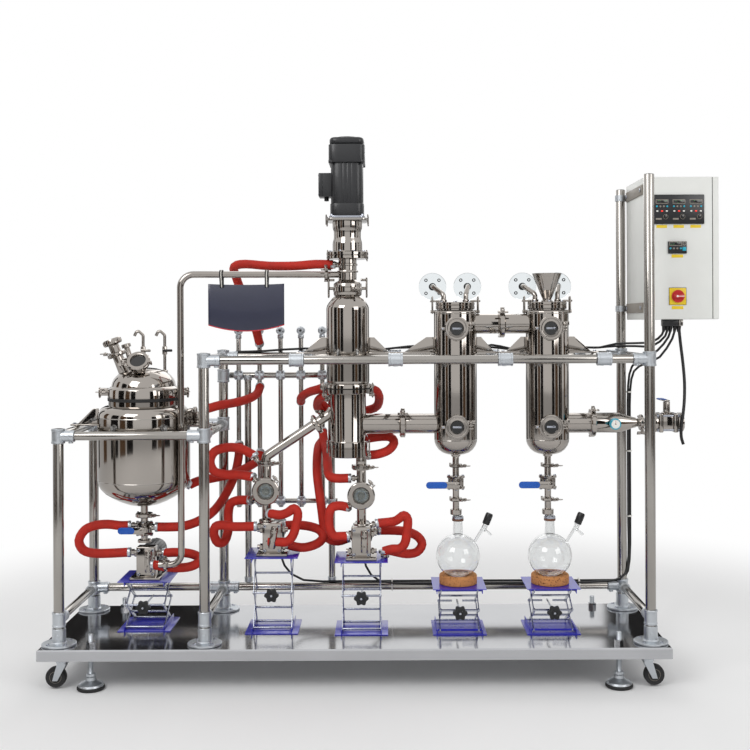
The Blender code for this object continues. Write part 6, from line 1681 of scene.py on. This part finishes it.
def finish_board():
    """Blank hanging board with a bowed foot and red trim, on two loops of twine over the feed pipe."""
    left, right, middle_y, top, low = -0.673, -0.385, -0.0766, 1.471, 1.29
    slope = 0.06 / 0.628

    def bow(height):
        return lambda across: height + 0.0235 * across * across

    def head(across):
        return top - 0.004 * (1 - across * across)
    parts = [curved_sheet(left, right, bow(low), head, middle_y - 0.002, 0.0038, "board_navy"),
             curved_sheet(left, right, bow(low), bow(low + 0.0042), middle_y - 0.0023, 0.0044,
                          "board_trim")]
    for x in (-0.621, -0.451):
        pipe_y = -0.1 + slope * (x + 0.774)
        for offset, name in ((-0.0048, "cable_jacket"), (0.0, "twine"), (0.0048, "cable_jacket")):
            ring = [(x + offset, pipe_y + 0.0155 * math.cos(math.radians(a)),
                     1.506 + 0.0155 * math.sin(math.radians(a))) for a in range(0, 181, 15)]
            ring += [(x + offset, middle_y - 0.0046, 1.459), (x + offset, middle_y + 0.0046, 1.459)]
            parts.append(tube(ring, 0.0023, name, True, 3))
    joined("blank_board", parts, "frame", ["sign_board"])


def finish_manifold():
    """Heating manifold behind the frame: risers with cocks, rails, legs and their tees."""
    y = MANIFOLD_Y
    parts = [rod((-0.642, y, 1.108), (-0.2325, y, 1.108), 0.0125, "satin_tube"),
             rod((-0.636, y, 0.592), (-0.2025, y, 0.592), 0.0105, "satin_tube")]
    for x in (-0.566, -0.225):
        parts.append(rod((x, y - 0.02, 0.2644), (x, y - 0.02, 1.112), 0.0135, "satin_tube"))
        for z in (0.276, 0.592, 1.098):
            parts.append(turned([(0.013, -0.01), (0.0165, -0.0095), (0.017, -0.008), (0.017, 0.008),
                                 (0.0165, 0.0095), (0.013, 0.01)], ZINC, (x, y - 0.02, z), UP, 32))
    for x in RISERS:
        parts.append(rod((x, y, 0.5668), (x, y, 1.296), 0.0095, "satin_tube"))
        for z, radius in ((0.592, 0.0135), (1.108, 0.015)):
            for way in (UP, RIGHT):
                parts.append(turned([(radius - 0.003, -0.019), (radius, -0.0185),
                                     (radius + 0.001, -0.017), (radius + 0.001, 0.017),
                                     (radius, 0.0185), (radius - 0.003, 0.019)], ZINC, (x, y, z), way,
                                    28))
        parts += [turned([(0, -0.01), (0.0155, -0.01), (0.017, -0.0085), (0.017, 0.012),
                          (0.016, 0.0135), (0.016, 0.018), (0.015, 0.0195), (0.0115, 0.0205),
                          (0.0105, 0.025), (0, 0.0258)], ZINC, (x, y, 1.2905), FRONT, 36),
                  # Painted shade: a near-black disc in the spout stands for the shade inside its bore
                  turned([(0, 0.0252), (0.0055, 0.0252), (0.005, 0.0262), (0, 0.0264)], "dark_bore",
                         (x, y, 1.2905), FRONT, 20),
                  hexagon((x, y, 1.258), (x, y, 1.274), 0.0135, ZINC)]
    joined("heating_manifold_piece", parts, "frame", ["heating_manifold"])


# Control box

def bank(x, z, wide):
    """One controller face: display window, lamps, buttons and, on the tall ones, a dial."""
    face = BOX_FRONT - 0.0062
    parts = [slab((x - 0.024, face - 0.001, z + 0.018), (x + 0.024, face + 0.0004, z + 0.034),
                  "strap_grey", 0.0006),
             slab((x - 0.0215, face - 0.0014, z + 0.0205), (x + 0.0215, face, z + 0.0315), "display",
                  0.0005)]
    for number, name in enumerate(("cyan_plastic", "strap_grey", "strap_grey", "cyan_plastic")):
        spot = x - 0.0195 + number * 0.013
        parts.append(rod((spot, face + 0.0006, z + 0.008), (spot, face - 0.0016, z + 0.008), 0.0036,
                         name, 0.0006, 18))
    if wide:
        parts += [slab((x + 0.026, face - 0.0016, z - 0.001), (x + 0.04, face + 0.0006, z + 0.013),
                       "cyan_plastic", 0.0008),
                  turned([(0.0048, 0), (0.0075, 0), (0.007, 0.0014), (0.005, 0.0014), (0.0048, 0)],
                         "strap_grey", (x + 0.033, face, z + 0.0265), FRONT, 28)]
        return parts
    for number, name in enumerate(("white_plastic", "lamp_red", "white_plastic")):
        spot = x - 0.018 + number * 0.018
        parts.append(slab((spot - 0.0038, face - 0.0014, z - 0.0122),
                          (spot + 0.0038, face + 0.0006, z - 0.0072), name, 0.0008))
    parts += [turned([(0.0078, 0), (0.0098, 0), (0.0094, 0.0014), (0.0082, 0.0014), (0.0078, 0)],
                     "strap_grey", (x + 0.0135, face, z - 0.031), FRONT, 36),
              turned([(0, 0), (0.0072, 0), (0.0066, 0.006), (0.0055, 0.0068), (0, 0.0068)],
                     "panel_black", (x + 0.0135, face, z - 0.031), FRONT, 32),
              slab((x + 0.0128, face - 0.0074, z - 0.03), (x + 0.0142, face - 0.0062, z - 0.0248),
                   "white_plastic", 0.0003),
              slab((x - 0.0235, face - 0.0008, z - 0.0425), (x - 0.0015, face + 0.0004, z - 0.036),
                   "strap_grey", 0.0004)]
    return parts


def finish_box():
    """Powder-coated case with its gland block and straps, the door with its controllers, and the switch."""
    left, right, front, rear, bottom, top, wall = BOX_LEFT, BOX_RIGHT, -0.0796, 0.223, 1.329, 1.868, 0.003
    parts = [slab((left, front, bottom), (left + wall, rear, top), "box_powder", 0.0012),
             slab((right - wall, front, bottom), (right, rear, top), "box_powder", 0.0012),
             slab((left, front, top - wall), (right, rear, top), "box_powder", 0.0012),
             slab((left, front, bottom), (right, rear, bottom + wall), "box_powder", 0.0012),
             slab((left, rear - wall, bottom), (right, rear, top), "box_powder", 0.0012),
             slab((1.0545, -0.0596, 1.3032), (1.1135, -0.0196, 1.3294), PAINT, 0.0035, 3),
             slab((1.113, -0.0592, 1.3034), (1.1305, -0.02, 1.3294), "satin_tube", 0.0035, 3)]
    for z in (1.374, 1.823):
        parts += [slab((0.9735, -0.066, z - 0.019), (left + 0.0006, 0.212, z + 0.019), "strap_grey",
                       0.0012),
                  slab((0.9775, 0.192, z - 0.012), (0.9798, 0.2545, z + 0.012), "strap_grey", 0.0006),
                  turned([(0.0188, -0.012), (0.0218, -0.012), (0.0218, 0.012), (0.0188, 0.012)], ZINC,
                         (0.958, 0.24, z), UP, 40)]
        for depth in (-0.04, 0.196):
            parts.append(hexagon((0.974, depth, z), (0.9695, depth, z), 0.0075, BRIGHT))
    joined("control_box_case", parts, "frame", ["control_box"])

    seam, panel_low, panel_high = 1.2325, 1.6885, 1.7995
    parts = [slab((left, BOX_FRONT, 1.33), (seam, -0.08, 1.867), "box_powder", 0.0022, 3),
             slab((seam + 0.0026, BOX_FRONT, 1.33), (right, -0.08, 1.867), "box_powder", 0.0022, 3),
             # Painted shade: a near-black strip behind the gap between the two door leaves stands for the
             # shade in the seam
             slab((seam - 0.002, BOX_FRONT + 0.0035, 1.3315), (seam + 0.0046, -0.0802, 1.8655),
                  "dark_bore", 0.0004),
             slab((1.01, BOX_FRONT - 0.006, panel_low), (1.201, BOX_FRONT + 0.001, panel_high),
                  "panel_black", 0.0014),
             slab((1.0645, BOX_FRONT - 0.006, 1.577), (1.1345, BOX_FRONT + 0.001, 1.623), "panel_black",
                  0.0014),
             slab((1.0675, BOX_FRONT - 0.002, 1.383), (1.1335, BOX_FRONT + 0.001, 1.449), "panel_black",
                  0.001),
             slab((1.069, BOX_FRONT - 0.003, 1.3845), (1.132, BOX_FRONT + 0.001, 1.4475),
                  "label_yellow", 0.001)]
    for number in range(3):
        middle = 1.0415 + 0.064 * number
        parts += bank(middle, 1.747, False)
        parts.append(slab((middle - 0.02, BOX_FRONT - 0.0008, panel_low - 0.0145),
                          (middle + 0.02, BOX_FRONT + 0.001, panel_low - 0.003), "label_yellow",
                          0.0004))
    parts += bank(1.092, 1.5885, True)
    for z in (1.5625, 1.368):
        parts.append(slab((1.078, BOX_FRONT - 0.0008, z - 0.0005),
                          (1.122, BOX_FRONT + 0.001, z + 0.0115), "label_yellow", 0.0004))
    joined("control_box_door", parts, "door", ["box_door"])

    x, y, z = 1.1005, -0.0954, 1.416
    parts = [turned([(0, 0), (0.0225, 0), (0.024, 0.0015), (0.024, 0.0062), (0.0228, 0.008),
                     (0, 0.008)], "switch_red", (x, y, z), FRONT, 56),
             slab((x - 0.018, y - 0.0238, z - 0.0068), (x + 0.0205, y - 0.006, z + 0.0068),
                  "switch_red", 0.0034, 4),
             slab((x - 0.004, y - 0.0244, z - 0.0012), (x + 0.019, y - 0.023, z + 0.0012),
                  "white_plastic", 0.0005),
             rod((x - 0.007, y - 0.023, z), (x - 0.007, y - 0.0243, z), 0.004, "white_plastic", 0.0005,
                 20)]
    joined("main_switch_knob", parts, "switch", ["main_switch"])


# Add-on parts

class DistillationSettings(bpy.types.PropertyGroup):
    """Colours, lens and light that a user would change."""

    steel_colour: FloatVectorProperty(name="Steel", description="Colour of the polished steel",
                                      subtype="COLOR", size=4, min=0.0, max=1.0,
                                      default=shade("a8a29c"))
    jack_colour: FloatVectorProperty(name="Jack enamel", description="Colour of the lab jack plates",
                                     subtype="COLOR", size=4, min=0.0, max=1.0, default=shade("1d1fb4"))
    lever_colour: FloatVectorProperty(name="Lever sleeves", description="Colour of the valve lever sleeves",
                                      subtype="COLOR", size=4, min=0.0, max=1.0, default=shade("0d55b4"))
    hose_colour: FloatVectorProperty(name="Hose sleeves", description="Colour of the insulated hoses",
                                     subtype="COLOR", size=4, min=0.0, max=1.0, default=shade("bd2819"))
    board_colour: FloatVectorProperty(name="Board", description="Colour of the hanging board",
                                      subtype="COLOR", size=4, min=0.0, max=1.0,
                                      default=shade("25283f"))
    box_colour: FloatVectorProperty(name="Control box", description="Colour of the control box",
                                    subtype="COLOR", size=4, min=0.0, max=1.0, default=shade("dedfdb"))
    lens: FloatProperty(name="Lens", description="Focal length of the camera in millimetres", default=52.27,
                        min=10.0, unit="CAMERA")
    sky_level: FloatProperty(name="Surround", description="Strength of the white surround on the object",
                             default=0.55, min=0.0, max=2.0, subtype="FACTOR")
    key_power: FloatProperty(name="Key lamp", description="Power of the main soft lamp", default=90.0,
                             min=0.0, unit="POWER")


class Making:
    """What each making step shares: it runs its own function."""

    bl_options = {"REGISTER", "UNDO"}

    def execute(self, context):
        type(self).make()
        return {"FINISHED"}


class MakeStage(Making, bpy.types.Operator):
    """Set the floor, the lamps, the dark cards and the camera."""
    bl_idname = "distillation.stage"
    bl_label = "Stage and camera"
    make = staticmethod(set_stage)


class MakeHoses(Making, bpy.types.Operator):
    """Lay the insulated heating hoses."""
    bl_idname = "distillation.hoses"
    bl_label = "Heating hoses"
    make = staticmethod(finish_hoses)


class MakeLeads(Making, bpy.types.Operator):
    """Lay the black leads and their ties."""
    bl_idname = "distillation.leads"
    bl_label = "Leads and ties"
    make = staticmethod(finish_leads)


class MakeDeck(Making, bpy.types.Operator):
    """Finish the deck with its feet and casters."""
    bl_idname = "distillation.deck"
    bl_label = "Deck, feet and casters"
    make = staticmethod(finish_deck)


class MakeFrame(Making, bpy.types.Operator):
    """Finish the tube frame and its fittings."""
    bl_idname = "distillation.frame"
    bl_label = "Tube frame"
    make = staticmethod(finish_frame)


class MakeReactor(Making, bpy.types.Operator):
    """Finish the jacketed feed vessel and its lid."""
    bl_idname = "distillation.reactor"
    bl_label = "Feed vessel"
    make = staticmethod(finish_reactor)


class MakeEvaporator(Making, bpy.types.Operator):
    """Finish the jacketed evaporator column."""
    bl_idname = "distillation.evaporator"
    bl_label = "Evaporator"
    make = staticmethod(finish_evaporator)


class MakeMotor(Making, bpy.types.Operator):
    """Finish the drive motor and its coupling housing."""
    bl_idname = "distillation.motor"
    bl_label = "Drive motor"
    make = staticmethod(finish_motor)


class MakeTraps(Making, bpy.types.Operator):
    """Finish the two cold traps and the vacuum line."""
    bl_idname = "distillation.traps"
    bl_label = "Cold traps"
    make = staticmethod(finish_traps)


class MakeLevers(Making, bpy.types.Operator):
    """Finish the four valve levers."""
    bl_idname = "distillation.levers"
    bl_label = "Valve levers"
    make = staticmethod(finish_levers)


class MakePumps(Making, bpy.types.Operator):
    """Finish the three gear pumps and the sight tees."""
    bl_idname = "distillation.pumps"
    bl_label = "Gear pumps"
    make = staticmethod(finish_pumps)


class MakePumpJacks(Making, bpy.types.Operator):
    """Finish the lab jacks under the pumps."""
    bl_idname = "distillation.pump_jacks"
    bl_label = "Pump jacks"
    make = staticmethod(finish_pump_jacks)


class MakeFlaskJacks(Making, bpy.types.Operator):
    """Finish the lab jacks under the flasks."""
    bl_idname = "distillation.flask_jacks"
    bl_label = "Flask jacks"
    make = staticmethod(finish_flask_jacks)


class MakeFlasks(Making, bpy.types.Operator):
    """Finish the receiving flasks on their cork rings."""
    bl_idname = "distillation.flasks"
    bl_label = "Flasks and cork rings"
    make = staticmethod(finish_flasks)


class MakeFeedLine(Making, bpy.types.Operator):
    """Finish the long feed pipe."""
    bl_idname = "distillation.feed_line"
    bl_label = "Feed pipe"
    make = staticmethod(finish_feed_line)


class MakeBoard(Making, bpy.types.Operator):
    """Finish the blank hanging board."""
    bl_idname = "distillation.board"
    bl_label = "Hanging board"
    make = staticmethod(finish_board)


class MakeManifold(Making, bpy.types.Operator):
    """Finish the heating manifold."""
    bl_idname = "distillation.manifold"
    bl_label = "Heating manifold"
    make = staticmethod(finish_manifold)


class MakeBox(Making, bpy.types.Operator):
    """Finish the control box, its door and its switch."""
    bl_idname = "distillation.box"
    bl_label = "Control box"
    make = staticmethod(finish_box)


STEPS = (MakeStage, MakeHoses, MakeLeads, MakeDeck, MakeFrame, MakeReactor, MakeEvaporator, MakeMotor,
         MakeTraps, MakeLevers, MakePumps, MakePumpJacks, MakeFlaskJacks, MakeFlasks, MakeFeedLine,
         MakeBoard, MakeManifold, MakeBox)


class DistillationPanel(bpy.types.Panel):
    """The settings and the making steps, in the 3D view's sidebar."""
    bl_idname = "VIEW3D_PT_distillation"
    bl_label = "Distillation unit"
    bl_space_type = "VIEW_3D"
    bl_region_type = "UI"
    bl_category = "Distillation"

    def draw(self, context):
        settings = context.scene.distillation
        for key in DistillationSettings.__annotations__:
            self.layout.prop(settings, key)
        for step in STEPS:
            self.layout.operator(step.bl_idname)


def register():
    for item in (DistillationSettings, *STEPS, DistillationPanel):
        bpy.utils.register_class(item)
    bpy.types.Scene.distillation = PointerProperty(type=DistillationSettings)


def unregister():
    del bpy.types.Scene.distillation
    for item in reversed((DistillationSettings, *STEPS, DistillationPanel)):
        bpy.utils.unregister_class(item)


def main():
    register()
    for step in STEPS:
        group, name = step.bl_idname.split(".")
        getattr(getattr(bpy.ops, group), name)()
    bpy.context.view_layer.update()


if __name__ == "__main__":
    main()
